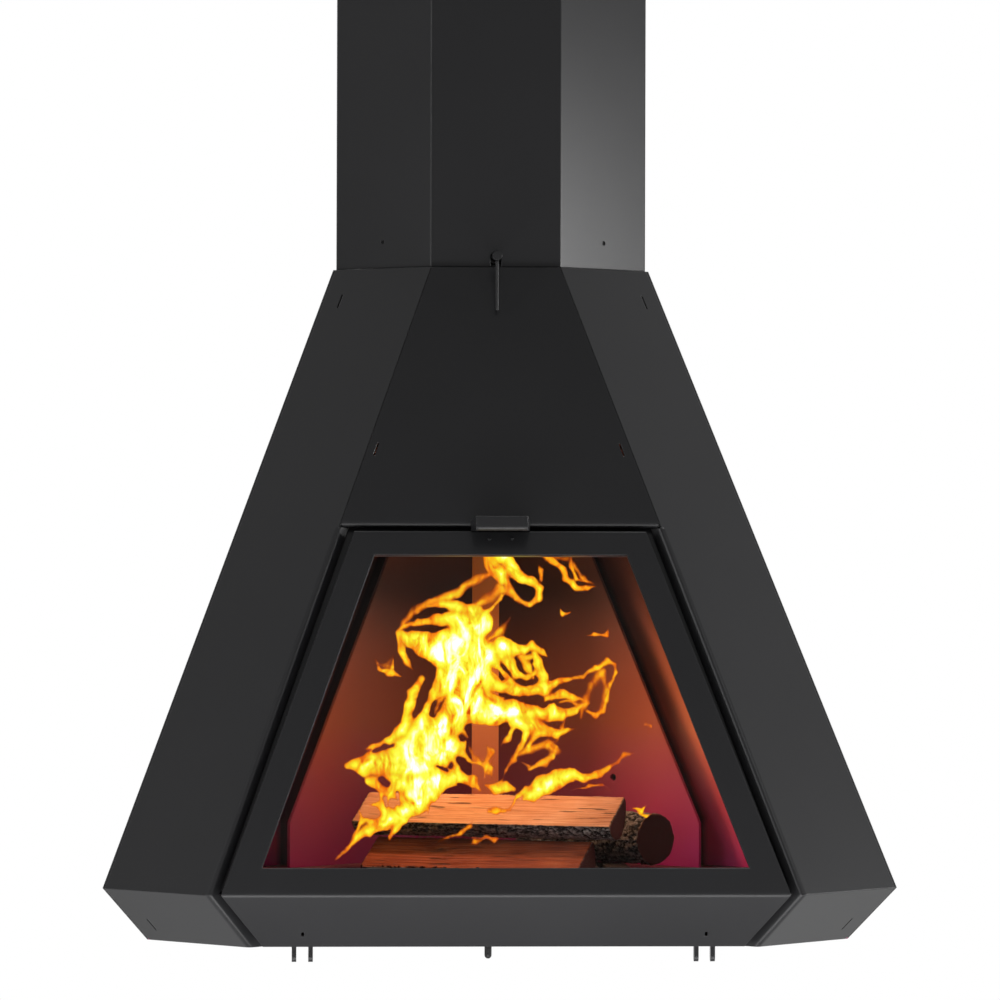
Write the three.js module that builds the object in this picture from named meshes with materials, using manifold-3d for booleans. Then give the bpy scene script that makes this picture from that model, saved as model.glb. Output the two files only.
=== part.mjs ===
// A corner fireplace that hangs on the two walls of a room's corner: a faceted steel body with a
// drop-down glass door, a flue casing above it, a damper in the flue and an air slide underneath.
// Millimetres, +Z up. X runs to the right and -Y to the front. The two walls meet on the Z axis, and
// Z = 0 is the lower edge of the body.
import * as THREE from "three";
import { mergeVertices } from "three/addons/utils/BufferGeometryUtils.js";
import { ConvexGeometry } from "three/addons/geometries/ConvexGeometry.js";
import Module from "manifold-3d";

const wasm = await Module();
wasm.setup();

// ---------------------------------------------------------------- driving dimensions

// Body outline at three heights: half width of the front face, and half width of the whole body
const TOP = { z: 771, front: 75, wide: 186 };
const BEND = { z: 62, front: 331, wide: 450 };
const BASE = { z: 0, front: 285, wide: 400 };
const UPPER = { low: BEND, high: TOP };
const LOWER = { low: BASE, high: BEND };

const FIT = 0.3; // gap between pieces that touch
const SHEET = 3; // body sheet
const BEND_RADIUS = 5; // outside radius of the body's folds
const BEND_STEPS = 4; // facets of a fold
const SEAM = 0.5; // half of the joint between the front and corner panels

const LIP_BOTTOM = 469.5; // underside of the upper front panel's lip
const LIP_DEPTH = 13;
const WALL_FLANGE = 18;
const RETURN_FLANGE = 17; // fold of the corner panels into the door opening
const BAND_FLANGE = 23; // the same fold beside the door's lower band
const FOLD_JOIN = 0.2; // by which the lower fold runs into the upper one, where they are joined
const SLOT_WIDTH = 2;
const SIDE_SLOT_INSET = 30; // from the wall edge of a corner panel
const HIGH_SLOT = [TOP.z - 46, TOP.z - 30]; // heights of the slots' ends
const LOW_SLOT = [BASE.z + 13.8, BASE.z + 26.4];
const FRONT_SLOT = [LIP_BOTTOM + 82, LIP_BOTTOM + 96];
const FRONT_SLOT_INSET = 11; // from the seam

const KEYHOLE = { spots: [[120, 600], [252, 336]], head: 9, neck: 4.5, rise: 16 };
const REAR_ANGLE_LEG = 40;

const PLATE = 3; // top, bottom, floor, apron and jamb plates
const BOTTOM_PLATE_Z = 16;
const FLOOR_Z = BEND.z + 10;
const HINGE_Z = BASE.z + 8;
const HINGE_DEPTH = 10.55; // of the axis behind the band's face, square to it
const HINGE_AXIS = { y: frontOf(HINGE_Z) + HINGE_DEPTH * levelCut(LOWER).front, z: HINGE_Z };
const APRON_SETBACK = { hinge: 24, front: 60 }; // at least so far behind the hinge pin and the front
const APRON_FRONT = Math.min(
  -HINGE_AXIS.y - APRON_SETBACK.hinge,
  -frontOf(FLOOR_Z) - APRON_SETBACK.front,
);
const JAMB_INSET = 14; // from the body's front face to the jamb's
const JAMB_TOP = LIP_BOTTOM + 35.5;
const JAMB_BOTTOM = BEND.z + 4;

const LEAF = 4; // door leaf sheet
const EDGE_BREAK = 1.5; // chamfer on the upper edges of the leaf and the handle
const LEAF_GAP = { top: 4, upper: 19.3, bend: 14, base: 15 }; // inside the body's front outline
const LEAF_TOP_Z = LIP_BOTTOM - LEAF_GAP.top;
const LEAF_TOP = { z: LEAF_TOP_Z, half: levelAt(UPPER, LEAF_TOP_Z).front - LEAF_GAP.upper };
const LEAF_BEND_HALF = BEND.front - LEAF_GAP.bend;
const LEAF_BASE = { z: BASE.z + 0.8, half: BASE.front - LEAF_GAP.base };
const WINDOW_FRAME = { top: 27, upper: 22.5, bottom: 29.6, lower: 45.5 }; // leaf around the window
const WINDOW_TOP = { z: LEAF_TOP.z - WINDOW_FRAME.top, half: LEAF_TOP.half - WINDOW_FRAME.upper };
const WINDOW_BASE = { z: BEND.z + WINDOW_FRAME.bottom, half: LEAF_BEND_HALF - WINDOW_FRAME.lower };
const BAND_HOLE = { width: 3, height: 4.6, z: BASE.z + 15.9 };

const GLASS = 4;
const GLASS_MARGIN = 10; // glass beyond the window on each side
const GLASS_TAPE = 0.6;
const RETAINER = { lap: 8, leg: 3, sheet: 2.5 };
const DOOR_ROPE = { inner: 17, outer: 26 }; // distances of the rope's edges from the window
const JAMB_MARGIN = 8; // jamb opening beyond the window

// Handle: half widths over the leaf and at its front, reach ahead of the leaf, sheet, and heights
const HANDLE = { base: 33.5, front: 29.5, reach: 35, sheet: 2.5, flange: 18, lip: 14.4 };
const HANDLE_SHELF = LEAF_TOP.z + FIT + HANDLE.sheet;
const HANDLE_CHEEK_RISE = 8; // of the cheeks' rear edge above the shelf
const HANDLE_SCREW = { x: 13, below: 9.1, shank: 1.2, radius: 1.7, head: 1 };

const HINGE_INSET = 44.25; // of a hinge's middle from the leaf's lower corner
const HINGE_X = LEAF_BASE.half - HINGE_INSET;
const CHEEK = { sheet: 5, apart: 18.5, half: 6, rise: BASE.z + 50, top: 8 };
const CHEEK_FOOT = { y: HINGE_AXIS.y + 4, z: HINGE_AXIS.z - 25 };
const CHEEK_WEB = { foot: BASE.z + 30, sheet: 3 };
const TONGUE = { width: 12.4, radius: 6, shoulder: 2, rise: BASE.z + 46, top: 4 };
const HINGE_PIN = { radius: 3, play: 0.3, end: 3, head: 5, head_length: 2.5 };

const LINER = 4;
const LINER_OFFSET = 50; // fire side of a liner from the wall
const LINER_SETBACK = 213; // of the liners' upright front edges from the body's widest line
const LINER_EDGE = BEND.wide - LINER_SETBACK;
const LINER_KNEE = FLOOR_Z + 55; // height where that edge starts to slant
const LINER_SLANT_HALF = 56; // half width at the liners' top
const SMOKE_ROOM = 171; // height between the liners and the top of the body
const LINER_TOP = TOP.z - SMOKE_ROOM;
const REAR_STRIP_HALF = 16;
const SPACER = { radius: 8, bore: 4.35 };
const SPACER_RISE = 103; // of the lower spacers above the floor
const SPACER_DROP = 100; // of the upper ones below the liners' top
const SPACER_SPOTS = [[144, FLOOR_Z + SPACER_RISE], [60, LINER_TOP - SPACER_DROP]];

const BAFFLE = { sheet: 4, gap: 70 };
const BAFFLE_SUPPORT = { length: 60, leg: 16, sheet: 3, from_wall: 75 };

const FIRE_SETBACK = 109; // of the grate's middle from the apron
const FIRE_CENTRE = APRON_FRONT - FIRE_SETBACK;
const GRATE = { width: 300, depth: 170, sheet: 6, rim: 10, rim_depth: 9, rim_wall: 5 };
const GRATE_SLOTS = { count: 13, width: 10, side: 10, end: 14 }; // with the margins inside the rim
const ASH_PAN = { width: 250, depth: 130, height: 38, sheet: 1.5 };

const FLUE_CENTRE = TOP.wide - 14; // distance of the flue's middle from the corner
const FLUE_ROOM = 31.6; // between the walls and the flue's bore
const FLUE = { y: -FLUE_CENTRE, bore: FLUE_CENTRE * Math.SQRT1_2 - FLUE_ROOM, wall: 2 };
const COLLAR = { drop: 26, rise: 69, flange: 17, sheet: 3 };
const COLLAR_LOW = TOP.z - COLLAR.drop;
const COLLAR_TOP = TOP.z + COLLAR.rise;
const PIPE_SEAT = { rise: 28.7, height: 4, lip: 5.5 };
const PIPE_SEAT_Z = TOP.z + PIPE_SEAT.rise;

const CASING = { front: TOP.front, wide: TOP.wide - 2, sheet: 2, height: 500, flange: 15, radius: 4 };
const CASING_TOP = TOP.z + CASING.height;
const CASING_NOTCH = { half: 6.2, top: TOP.z + 18 };
const CASING_SCREW = { z: TOP.z + 30.8, radius: 2.1, length: 9, sunk: 1.2, slot: 0.5, slot_depth: 1 };
const CASING_BRACKET = { width: 40, sheet: 2, base: 26, rise: 46 };
const PIPE_TOP = CASING_TOP + 39;

const DAMPER_Z = TOP.z + 12;
const DAMPER_LEVER = { radius: 2, foot: DAMPER_Z - 64 };
const LEVER_ROOM = 12; // from the front face at the lever's foot to the knob's face
const DAMPER = { radius: FLUE.bore - 2, sheet: 3, shaft: 4, play: 0.3, knob: 5.5, knob_length: 12 };
const DAMPER_REACH = -frontOf(DAMPER_LEVER.foot) + LEVER_ROOM;
const DAMPER_STRAP = { apart: FLUE.bore, length: 16, half: 7.5 };
const BUSH = { radius: 8, length: 12 };

const AIR = { y: -165, rod: 4.25, foot: BASE.z - 42, travel: 30, head: 7, head_height: 3 };
const AIR_SLIDE = { width: 110, depth: 90, sheet: 3 };
const AIR_PORT = { width: 26, depth: 28, apart: 34 };
const AIR_GUIDE = { width: 10, lip: 5, sheet: 2 };

const FOOT_OF_FIRE = FLOOR_Z + PLATE + FIT + GRATE.sheet + FIT; // what the logs lie on
const LOG_SIDES = 18;
const BARK_WAVE = 0.012;
const LOG_TURN = -22; // degrees that the two split logs are turned by
const FRONT_LOG = { radius: 72, angle: 27, length: 262, middle: -38, forward: 57 };
const TOP_LOG = { radius: 34, slope: 28, length: 312, shift: 3 };
const ROUND_LOG = { radius: 31, length: 205, aside: 193, forward: -7, turn: 50 };

// ---------------------------------------------------------------- shared geometry

const flat = (x, y) => new THREE.Vector2(x, y);
const axis = (x, y, z) => new THREE.Vector3(x, y, z).normalize();
const THROUGH = 60; // how far a cutting shape reaches past what it cuts
const REACH = 2000; // beyond every face of the object
const ROUND_STEPS = 48; // sides of the flue's round parts

// Body outline at a height of one of the two spans
function levelAt(span, z) {
  const share = (z - span.low.z) / (span.high.z - span.low.z);
  const front = THREE.MathUtils.lerp(span.low.front, span.high.front, share);
  const wide = THREE.MathUtils.lerp(span.low.wide, span.high.wide, share);
  return { front, wide, depth: 2 * wide - front };
}

function frontOf(z) {
  return -levelAt(z > BEND.z ? UPPER : LOWER, z).depth;
}

// How much wider a leaning sheet is when it is cut level
function levelCut(span) {
  const rise = span.high.z - span.low.z;
  const low = levelAt(span, span.low.z);
  const high = levelAt(span, span.high.z);
  return {
    front: Math.hypot(1, (high.depth - low.depth) / rise),
    side: Math.hypot(1, (Math.SQRT2 * (high.wide - low.wide)) / rise),
  };
}

// Right half of the level section: rear corner, wall edge and front ridge, each face moved in
function sectionCorners(span, z, inset) {
  const { front, wide, depth } = levelAt(span, z);
  const cut = levelCut(span);
  const f = inset.front * cut.front;
  const s = inset.side * cut.side;
  const w = inset.wall;
  return {
    rear: [0, -Math.SQRT2 * w],
    edge: [wide - (s + w) * Math.SQRT1_2, -wide + (s - w) * Math.SQRT1_2],
    ridge: [front + f - Math.SQRT2 * s, -depth + f],
  };
}

function spanVolume(span, inset, low, high) {
  const points = [];
  for (const z of [low, high]) {
    const { rear, edge, ridge } = sectionCorners(span, z, inset);
    points.push(new THREE.Vector3(rear[0], rear[1], z));
    for (const side of [1, -1]) {
      points.push(new THREE.Vector3(side * edge[0], edge[1], z));
      points.push(new THREE.Vector3(side * ridge[0], ridge[1], z));
    }
  }
  return solid(new ConvexGeometry(points));
}

// The body's outline as a solid, with each kind of face moved in by its own distance
function bodyVolume(inset, low, high) {
  return spanVolume(UPPER, inset, low, high).intersect(spanVolume(LOWER, inset, low, high));
}

// Everything behind the front face between two heights, as far as the mitres at the ridges
function frontWedge(low, high, deep, narrow) {
  const points = [];
  for (const z of [low, high]) {
    for (const depth of [0, deep]) {
      const { ridge } = sectionCorners(UPPER, z, { front: depth, side: depth, wall: 0 });
      for (const side of [1, -1]) {
        points.push(new THREE.Vector3(side * (ridge[0] - narrow), ridge[1], z));
      }
    }
  }
  return solid(new ConvexGeometry(points));
}

function solid(geometry) {
  const bare = geometry.clone();
  bare.deleteAttribute("normal");
  bare.deleteAttribute("uv");
  const merged = mergeVertices(bare, 1e-4);
  return new wasm.Manifold(
    new wasm.Mesh({
      numProp: 3,
      vertProperties: merged.attributes.position.array,
      triVerts: new Uint32Array(merged.index.array),
    }),
  );
}

function geometryOf(body) {
  const mesh = body.getMesh();
  const geometry = new THREE.BufferGeometry();
  geometry.setAttribute("position", new THREE.BufferAttribute(mesh.vertProperties, 3));
  geometry.setIndex(new THREE.BufferAttribute(mesh.triVerts, 1));
  geometry.computeVertexNormals();
  return geometry;
}

// A drawing plane: its first two axes lie in the drawing, and the third is the way it is extruded
function drawingPlane(across, up, origin = [0, 0, 0]) {
  const out = new THREE.Vector3().crossVectors(across, up);
  return new THREE.Matrix4().makeBasis(across, up, out).setPosition(...origin);
}

const PLAN = drawingPlane(axis(1, 0, 0), axis(0, 1, 0)); // extruded up
const PROFILE = drawingPlane(axis(0, 1, 0), axis(0, 0, 1)); // drawn in Y and Z, extruded along X
const ELEVATION = drawingPlane(axis(-1, 0, 0), axis(0, 0, 1)); // drawn in -X and Z, extruded along Y
const WALL = drawingPlane(axis(1, -1, 0), axis(0, 0, 1)); // on the right wall, extruded off it
const SIDE = drawingPlane(axis(1, 1, 0), axis(0, 0, 1)); // along the right corner panel, extruded out

const LEAN = axis(0, frontOf(TOP.z) - frontOf(BEND.z + FIT), TOP.z - BEND.z - FIT);
const FRONT = drawingPlane(axis(1, 0, 0), LEAN, [0, -levelAt(UPPER, BEND.z).depth, BEND.z]);
const upFront = (z) => (z - BEND.z) / LEAN.z; // distance up the front face of a height

const shapeOf = (points) => new THREE.Shape(points.map(([x, y]) => flat(x, y)));
const oblong = ([left, right], [low, high]) => [[left, low], [right, low], [right, high], [left, high]];
const around = (middle, half) => [middle - half, middle + half];

function slab(plane, outline, from, to, steps = 12) {
  const shape = Array.isArray(outline) ? shapeOf(outline) : outline;
  const settings = { depth: to - from, bevelEnabled: false, curveSegments: steps };
  return solid(new THREE.ExtrudeGeometry(shape, settings).translate(0, 0, from).applyMatrix4(plane));
}

function box(x, y, z) {
  const geometry = new THREE.BoxGeometry(x[1] - x[0], y[1] - y[0], z[1] - z[0]);
  return solid(geometry.translate((x[0] + x[1]) / 2, (y[0] + y[1]) / 2, (z[0] + z[1]) / 2));
}

function disc(plane, x, y, radius, from, to, steps = 20) {
  const geometry = new THREE.CylinderGeometry(radius, radius, to - from, steps);
  geometry.rotateX(Math.PI / 2).translate(x, y, (from + to) / 2);
  return solid(geometry.applyMatrix4(plane));
}

function revolve(points, x, y, steps) {
  const geometry = new THREE.LatheGeometry(points.map(([r, z]) => flat(r, z)), steps);
  return solid(geometry.rotateX(Math.PI / 2).translate(x, y, 0));
}

// Outline of a sheet folded along a path: the path is its outer face, and the sheet is on its left
function foldedSheet(path, radius, thickness) {
  const face = [];
  const back = [];
  const leftOf = (way) => flat(-way.y, way.x);
  const put = (point, normal) => {
    face.push(point);
    back.unshift(point.clone().addScaledVector(normal, thickness));
  };
  path.forEach(([x, y], i) => {
    const corner = flat(x, y);
    const into = i > 0 && corner.clone().sub(flat(...path[i - 1])).normalize();
    const out = i < path.length - 1 && flat(...path[i + 1]).sub(corner).normalize();
    if (!into || !out) {
      put(corner, leftOf(into || out));
      return;
    }
    const turn = Math.atan2(into.cross(out), into.dot(out));
    const reach = radius * Math.tan(Math.abs(turn) / 2);
    const hand = Math.sign(turn) * radius;
    const centre = corner.clone().addScaledVector(into, -reach).addScaledVector(leftOf(into), hand);
    for (let k = 0; k <= BEND_STEPS; k++) {
      const normal = leftOf(into).rotateAround(flat(0, 0), (turn * k) / BEND_STEPS);
      put(centre.clone().addScaledVector(normal, -hand), normal);
    }
  });
  return new THREE.Shape([...face, ...back]);
}

// A level outline, drawn from the front ridge, swept along that ridge
function alongRidge(span, shape, low, high) {
  const at = (z) => levelAt(span, z);
  const rise = high - low;
  const x = (at(high).front - at(low).front) / rise;
  const y = -(at(high).depth - at(low).depth) / rise;
  const sweep = new THREE.Matrix4();
  sweep.set(1, 0, x, at(low).front, 0, 1, y, -at(low).depth, 0, 0, 1, low, 0, 0, 0, 1);
  const geometry = new THREE.ExtrudeGeometry(shape, { depth: rise, bevelEnabled: false });
  return solid(geometry.applyMatrix4(sweep));
}

// Outline of the window, each side moved out by a margin, in the front face's plane
function windowOutline(margin) {
  const low = upFront(WINDOW_BASE.z);
  const high = upFront(WINDOW_TOP.z);
  const slope = (WINDOW_BASE.half - WINDOW_TOP.half) / (high - low);
  const aside = margin * Math.hypot(1, slope);
  const half = (height) => WINDOW_BASE.half - slope * (height - low) + aside;
  const bottom = low - margin;
  const top = high + margin;
  return [
    [half(bottom), bottom],
    [half(top), top],
    [-half(top), top],
    [-half(bottom), bottom],
  ];
}

// A frame that follows the window between two margins, at a distance behind the front face
function windowFrame(inner, outer, front, back) {
  const ring = slab(FRONT, windowOutline(outer), -back, -front);
  return ring.subtract(slab(FRONT, windowOutline(inner), -back - 1, -front + 1));
}

// ---------------------------------------------------------------- the object

const fireplace = new THREE.Group();

const painted = (hex) => new THREE.MeshStandardMaterial({ color: hex, roughness: 0.6, metalness: 0.35 });
const steel = (hex) => new THREE.MeshStandardMaterial({ color: hex, roughness: 0.4, metalness: 0.9 });
const plain = (hex) => new THREE.MeshStandardMaterial({ color: hex, roughness: 0.9, metalness: 0 });
const clear = (hex, opacity) => new THREE.MeshStandardMaterial({ color: hex, transparent: true, opacity });
const SHELL = painted("#2b2b2c");
const CHAMBER = painted("#5c3322");
const STEEL = steel("#8d9094");
const CAST = painted("#2a2624");
const ROPE = plain("#3a3a38");
const BARK = plain("#5d4433");
const CLEAR = clear("#20242a", 0.3);

function add(name, body, material) {
  const mesh = new THREE.Mesh(geometryOf(body), material);
  mesh.name = name;
  fireplace.add(mesh);
  return mesh;
}

// The right piece and its mirror image
function addPair(name, body, material) {
  add("right_" + name, body, material);
  add("left_" + name, body, material).scale.x = -1;
}

const rightHalf = (from) => box([from, REACH], [-REACH, REACH], [-REACH, REACH]);
const beyond = -THROUGH; // an inset that moves a face out of the way

// Folded side panel: side face and lower band, wall flange, and the return into the door opening
function cornerPanel() {
  const wall = SHEET + FIT;
  const outside = bodyVolume({ front: 0, side: 0, wall }, BASE.z, TOP.z);
  const inside = { front: beyond, side: SHEET, wall: wall + SHEET };
  const middle = { front: beyond, side: WALL_FLANGE, wall: beyond };
  const low = BASE.z - 1;
  const high = TOP.z + 1;
  let panel = outside
    .subtract(bodyVolume(inside, low, high))
    .subtract(bodyVolume(middle, low, high))
    .intersect(rightHalf(0));

  const returnTop = LIP_BOTTOM - FIT;
  panel = panel.subtract(frontWedge(returnTop, high, THROUGH, 0));
  const out = flat(Math.SQRT1_2, Math.SQRT1_2);
  const back = flat(-Math.SQRT1_2, Math.SQRT1_2);
  const local = (along, inward) => [
    out.x * along + back.x * inward,
    out.y * along + back.y * inward,
  ];
  const spans = [
    [LOWER, BASE.z, BEND.z, BAND_FLANGE, FOLD_JOIN],
    [UPPER, BEND.z, returnTop, RETURN_FLANGE, 0],
  ];
  for (const [span, from, to, fold, join] of spans) {
    const sheet = SHEET * levelCut(span).side;
    const lap = BEND_RADIUS + 1;
    const cut = oblong([-THROUGH, BEND_RADIUS], [-THROUGH, THROUGH]).map((at) => local(...at));
    panel = panel.subtract(alongRidge(span, shapeOf(cut), from === BASE.z ? from - 1 : from, to));
    const path = [local(0, fold), local(0, 0), local(lap, 0)];
    panel = panel.add(alongRidge(span, foldedSheet(path, BEND_RADIUS, sheet), from, to + join));
  }

  for (const heights of [HIGH_SLOT, LOW_SLOT]) {
    const slot = oblong(around(-SIDE_SLOT_INSET, SLOT_WIDTH / 2), heights);
    panel = panel.subtract(slab(SIDE, slot, 0, REACH));
  }
  return panel;
}

// Sheet above the door, with its lower edge folded back under
function upperFrontPanel() {
  const lip = frontOf(LIP_BOTTOM);
  const path = [
    [frontOf(TOP.z), TOP.z],
    [lip, LIP_BOTTOM],
    [lip + LIP_DEPTH, LIP_BOTTOM],
  ];
  const folded = slab(PROFILE, foldedSheet(path, BEND_RADIUS, SHEET), -BEND.front, BEND.front);
  let panel = folded.intersect(frontWedge(LIP_BOTTOM - 1, TOP.z, THROUGH, SEAM));
  for (const side of [1, -1]) {
    const place = (z) => side * (levelAt(UPPER, z).front - FRONT_SLOT_INSET);
    const [low, high] = FRONT_SLOT;
    const [lowLeft, lowRight] = around(-place(low), SLOT_WIDTH / 2);
    const [highLeft, highRight] = around(-place(high), SLOT_WIDTH / 2);
    const slot = [[lowLeft, low], [lowRight, low], [highRight, high], [highLeft, high]];
    panel = panel.subtract(slab(ELEVATION, slot, frontOf(low) - THROUGH, frontOf(high) + THROUGH));
  }
  return panel;
}

// Flat wall panel with two keyholes for the wall screws
function backPanel() {
  const outside = bodyVolume({ front: 0, side: 0, wall: 0 }, BASE.z, TOP.z);
  const inside = { front: beyond, side: beyond, wall: SHEET };
  const behind = bodyVolume(inside, BASE.z - 1, TOP.z + 1);
  let panel = outside.subtract(behind).intersect(rightHalf(FIT / 2));
  for (const [x, z] of KEYHOLE.spots) {
    const along = x * Math.SQRT2;
    const head = disc(WALL, along, z, KEYHOLE.head, -SHEET, 2 * SHEET, 16);
    const neck = oblong(around(along, KEYHOLE.neck), [z, z + KEYHOLE.rise]);
    panel = panel.subtract(head).subtract(slab(WALL, neck, -SHEET, 2 * SHEET));
  }
  return panel;
}

// Angle that joins the two back panels inside the corner
function rearAngle() {
  const from = (SHEET + FIT) * Math.SQRT2;
  const leg = REAR_ANGLE_LEG * Math.SQRT1_2;
  const path = [
    [leg, -from - leg],
    [0, -from],
    [-leg, -from - leg],
  ];
  const low = FLOOR_Z + PLATE + FIT;
  return slab(PLAN, foldedSheet(path, BEND_RADIUS, SHEET), low, TOP.z - PLATE - FIT);
}

// The flue collar's outside as a solid, grown by a gap
const flueRound = (gap, low, high) => {
  return disc(PLAN, 0, FLUE.y, FLUE.bore + FLUE.wall + gap, low, high, ROUND_STEPS);
};

function topPlate() {
  const inset = { front: SHEET + FIT, side: SHEET + FIT, wall: SHEET + FIT };
  const plate = bodyVolume(inset, TOP.z - PLATE, TOP.z);
  const flanges = wallFlanges(TOP.z - PLATE, TOP.z);
  const hole = flueRound(FIT, ...around(TOP.z, THROUGH));
  return plate.subtract(flanges).subtract(hole);
}

// Room that the corner panels' wall flanges take, with the gap around them
function wallFlanges(low, high) {
  const outer = { front: beyond, side: 0, wall: 0 };
  const inner = { front: beyond, side: WALL_FLANGE + FIT, wall: beyond };
  const behind = { front: beyond, side: beyond, wall: 2 * SHEET + 2 * FIT };
  return bodyVolume(outer, low - 1, high + 1)
    .subtract(bodyVolume(inner, low - 2, high + 2))
    .subtract(bodyVolume(behind, low - 2, high + 2));
}

function bottomPlate() {
  const low = BOTTOM_PLATE_Z;
  const high = BOTTOM_PLATE_Z + PLATE;
  const inset = { front: 0, side: SHEET + FIT, wall: SHEET + FIT };
  const behindApron = box([-REACH, REACH], [-APRON_FRONT, 0], [-REACH, REACH]);
  const plate = bodyVolume(inset, low, high).intersect(behindApron).subtract(wallFlanges(low, high));
  const half = AIR.rod + 1;
  const path = [AIR.y - half, AIR.y + AIR.travel + half];
  const rodWay = box([-half, half], path, [low - 1, high + 1]);
  return plate.subtract(rodWay).subtract(airPorts(low - 1, high + 1));
}

// Air openings, one each side of the rod
function airPorts(low, high) {
  const port = (side) => {
    const x = around(side * AIR_PORT.apart, AIR_PORT.width / 2);
    return box(x, [AIR.y - AIR_PORT.depth, AIR.y], [low, high]);
  };
  return port(1).add(port(-1));
}

function frontApron() {
  const low = BOTTOM_PLATE_Z + PLATE + FIT;
  const high = FLOOR_Z - FIT;
  const inset = { front: 0, side: SHEET + FIT, wall: SHEET + FIT };
  const slice = box([-REACH, REACH], [-APRON_FRONT, -APRON_FRONT + PLATE], [low - 1, high + 1]);
  return bodyVolume(inset, low, high).intersect(slice).subtract(wallFlanges(low, high));
}

function doorJamb() {
  const side = SHEET + FIT;
  const front = { front: JAMB_INSET, side, wall: 0 };
  const back = { front: JAMB_INSET + PLATE, side: beyond, wall: beyond };
  const sheet = spanVolume(UPPER, front, JAMB_BOTTOM, JAMB_TOP).subtract(
    spanVolume(UPPER, back, JAMB_BOTTOM - 1, JAMB_TOP + 1),
  );
  return sheet.subtract(slab(FRONT, windowOutline(JAMB_MARGIN), -THROUGH, 0));
}

function fireboxFloor() {
  const low = FLOOR_Z;
  const high = FLOOR_Z + PLATE;
  const inset = { front: JAMB_INSET + PLATE + FIT, side: SHEET + FIT, wall: SHEET + FIT };
  const plate = bodyVolume(inset, low, high).subtract(wallFlanges(low, high));
  const half = GRATE.width / 2 - GRATE.rim;
  const deep = GRATE.depth / 2 - GRATE.rim;
  return plate.subtract(fireBox(half, deep, low - 1, high + 1));
}

// A block about the middle of the fire
const fireBox = (half, deep, low, high) => {
  return box([-half, half], around(-FIRE_CENTRE, deep), [low, high]);
};

function grate() {
  const low = FLOOR_Z + PLATE + FIT;
  const top = fireBox(GRATE.width / 2, GRATE.depth / 2, low, low + GRATE.sheet);
  const half = GRATE.width / 2 - GRATE.rim - FIT;
  const deep = GRATE.depth / 2 - GRATE.rim - FIT;
  const wall = GRATE.rim_wall;
  const rim = fireBox(half, deep, low - GRATE.rim_depth, low + 1);
  const hollow = fireBox(half - wall, deep - wall, low - GRATE.rim_depth - 1, low);
  let body = top.add(rim).subtract(hollow);
  const { count, width, side, end } = GRATE_SLOTS;
  const pitch = (2 * (half - side)) / count;
  for (let i = 0; i < count; i++) {
    const x = -half + side + pitch * (i + 0.5);
    const y = around(-FIRE_CENTRE, deep - end);
    body = body.subtract(box(around(x, width / 2), y, [low - THROUGH, low + THROUGH]));
  }
  return body;
}

function ashPan() {
  const low = BOTTOM_PLATE_Z + PLATE + FIT;
  const top = low + ASH_PAN.height;
  const half = ASH_PAN.width / 2;
  const deep = ASH_PAN.depth / 2;
  const skin = ASH_PAN.sheet;
  const inside = fireBox(half - skin, deep - skin, low + skin, top + 1);
  return fireBox(half, deep, low, top).subtract(inside);
}

// Distance along the wall of a point on a liner's fire side
const alongWall = (x) => x * Math.SQRT2 + LINER_OFFSET;

function liner() {
  const low = FLOOR_Z + PLATE + FIT;
  const outline = [
    [alongWall(REAR_STRIP_HALF + FIT), low],
    [alongWall(LINER_EDGE), low],
    [alongWall(LINER_EDGE), LINER_KNEE],
    [alongWall(LINER_SLANT_HALF), LINER_TOP],
    [alongWall(REAR_STRIP_HALF + FIT), LINER_TOP],
  ];
  let plate = slab(WALL, outline, LINER_OFFSET - LINER, LINER_OFFSET);
  for (const [x, z] of SPACER_SPOTS) {
    plate = plate.subtract(disc(WALL, alongWall(x), z, SPACER.bore, 0, 2 * LINER_OFFSET));
  }
  return plate;
}

function linerSpacer(x, z) {
  const u = alongWall(x);
  const tube = disc(WALL, u, z, SPACER.radius, SHEET + FIT, LINER_OFFSET - LINER - FIT);
  return tube.subtract(disc(WALL, u, z, SPACER.bore, 0, LINER_OFFSET));
}

function rearStrip() {
  const front = -(REAR_STRIP_HALF + LINER_OFFSET * Math.SQRT2);
  const x = [-REAR_STRIP_HALF, REAR_STRIP_HALF];
  return box(x, [front, front + LINER], [FLOOR_Z + PLATE + FIT, LINER_TOP]);
}

function smokeBaffle() {
  const low = LINER_TOP + FIT;
  const inset = { front: BAFFLE.gap, side: SHEET + FIT, wall: LINER_OFFSET - LINER };
  return bodyVolume(inset, low, low + BAFFLE.sheet);
}

// Short angle on the corner panel under the baffle's side edge
function baffleSupport() {
  const top = LINER_TOP;
  const { wide } = levelAt(UPPER, top);
  const face = Math.SQRT2 * wide - (SHEET + FIT) * levelCut(UPPER).side;
  const lean = Math.SQRT2 * (levelAt(UPPER, top - BAFFLE_SUPPORT.leg).wide - wide);
  const along = BAFFLE_SUPPORT.from_wall;
  const half = BAFFLE_SUPPORT.length / 2;
  const path = [
    [face + lean, top - BAFFLE_SUPPORT.leg],
    [face, top],
    [face - BAFFLE_SUPPORT.leg, top],
  ];
  const outline = foldedSheet(path, BEND_RADIUS, BAFFLE_SUPPORT.sheet);
  const across = drawingPlane(axis(1, -1, 0), axis(0, 0, 1));
  return slab(across, outline, along - half, along + half);
}

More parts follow.
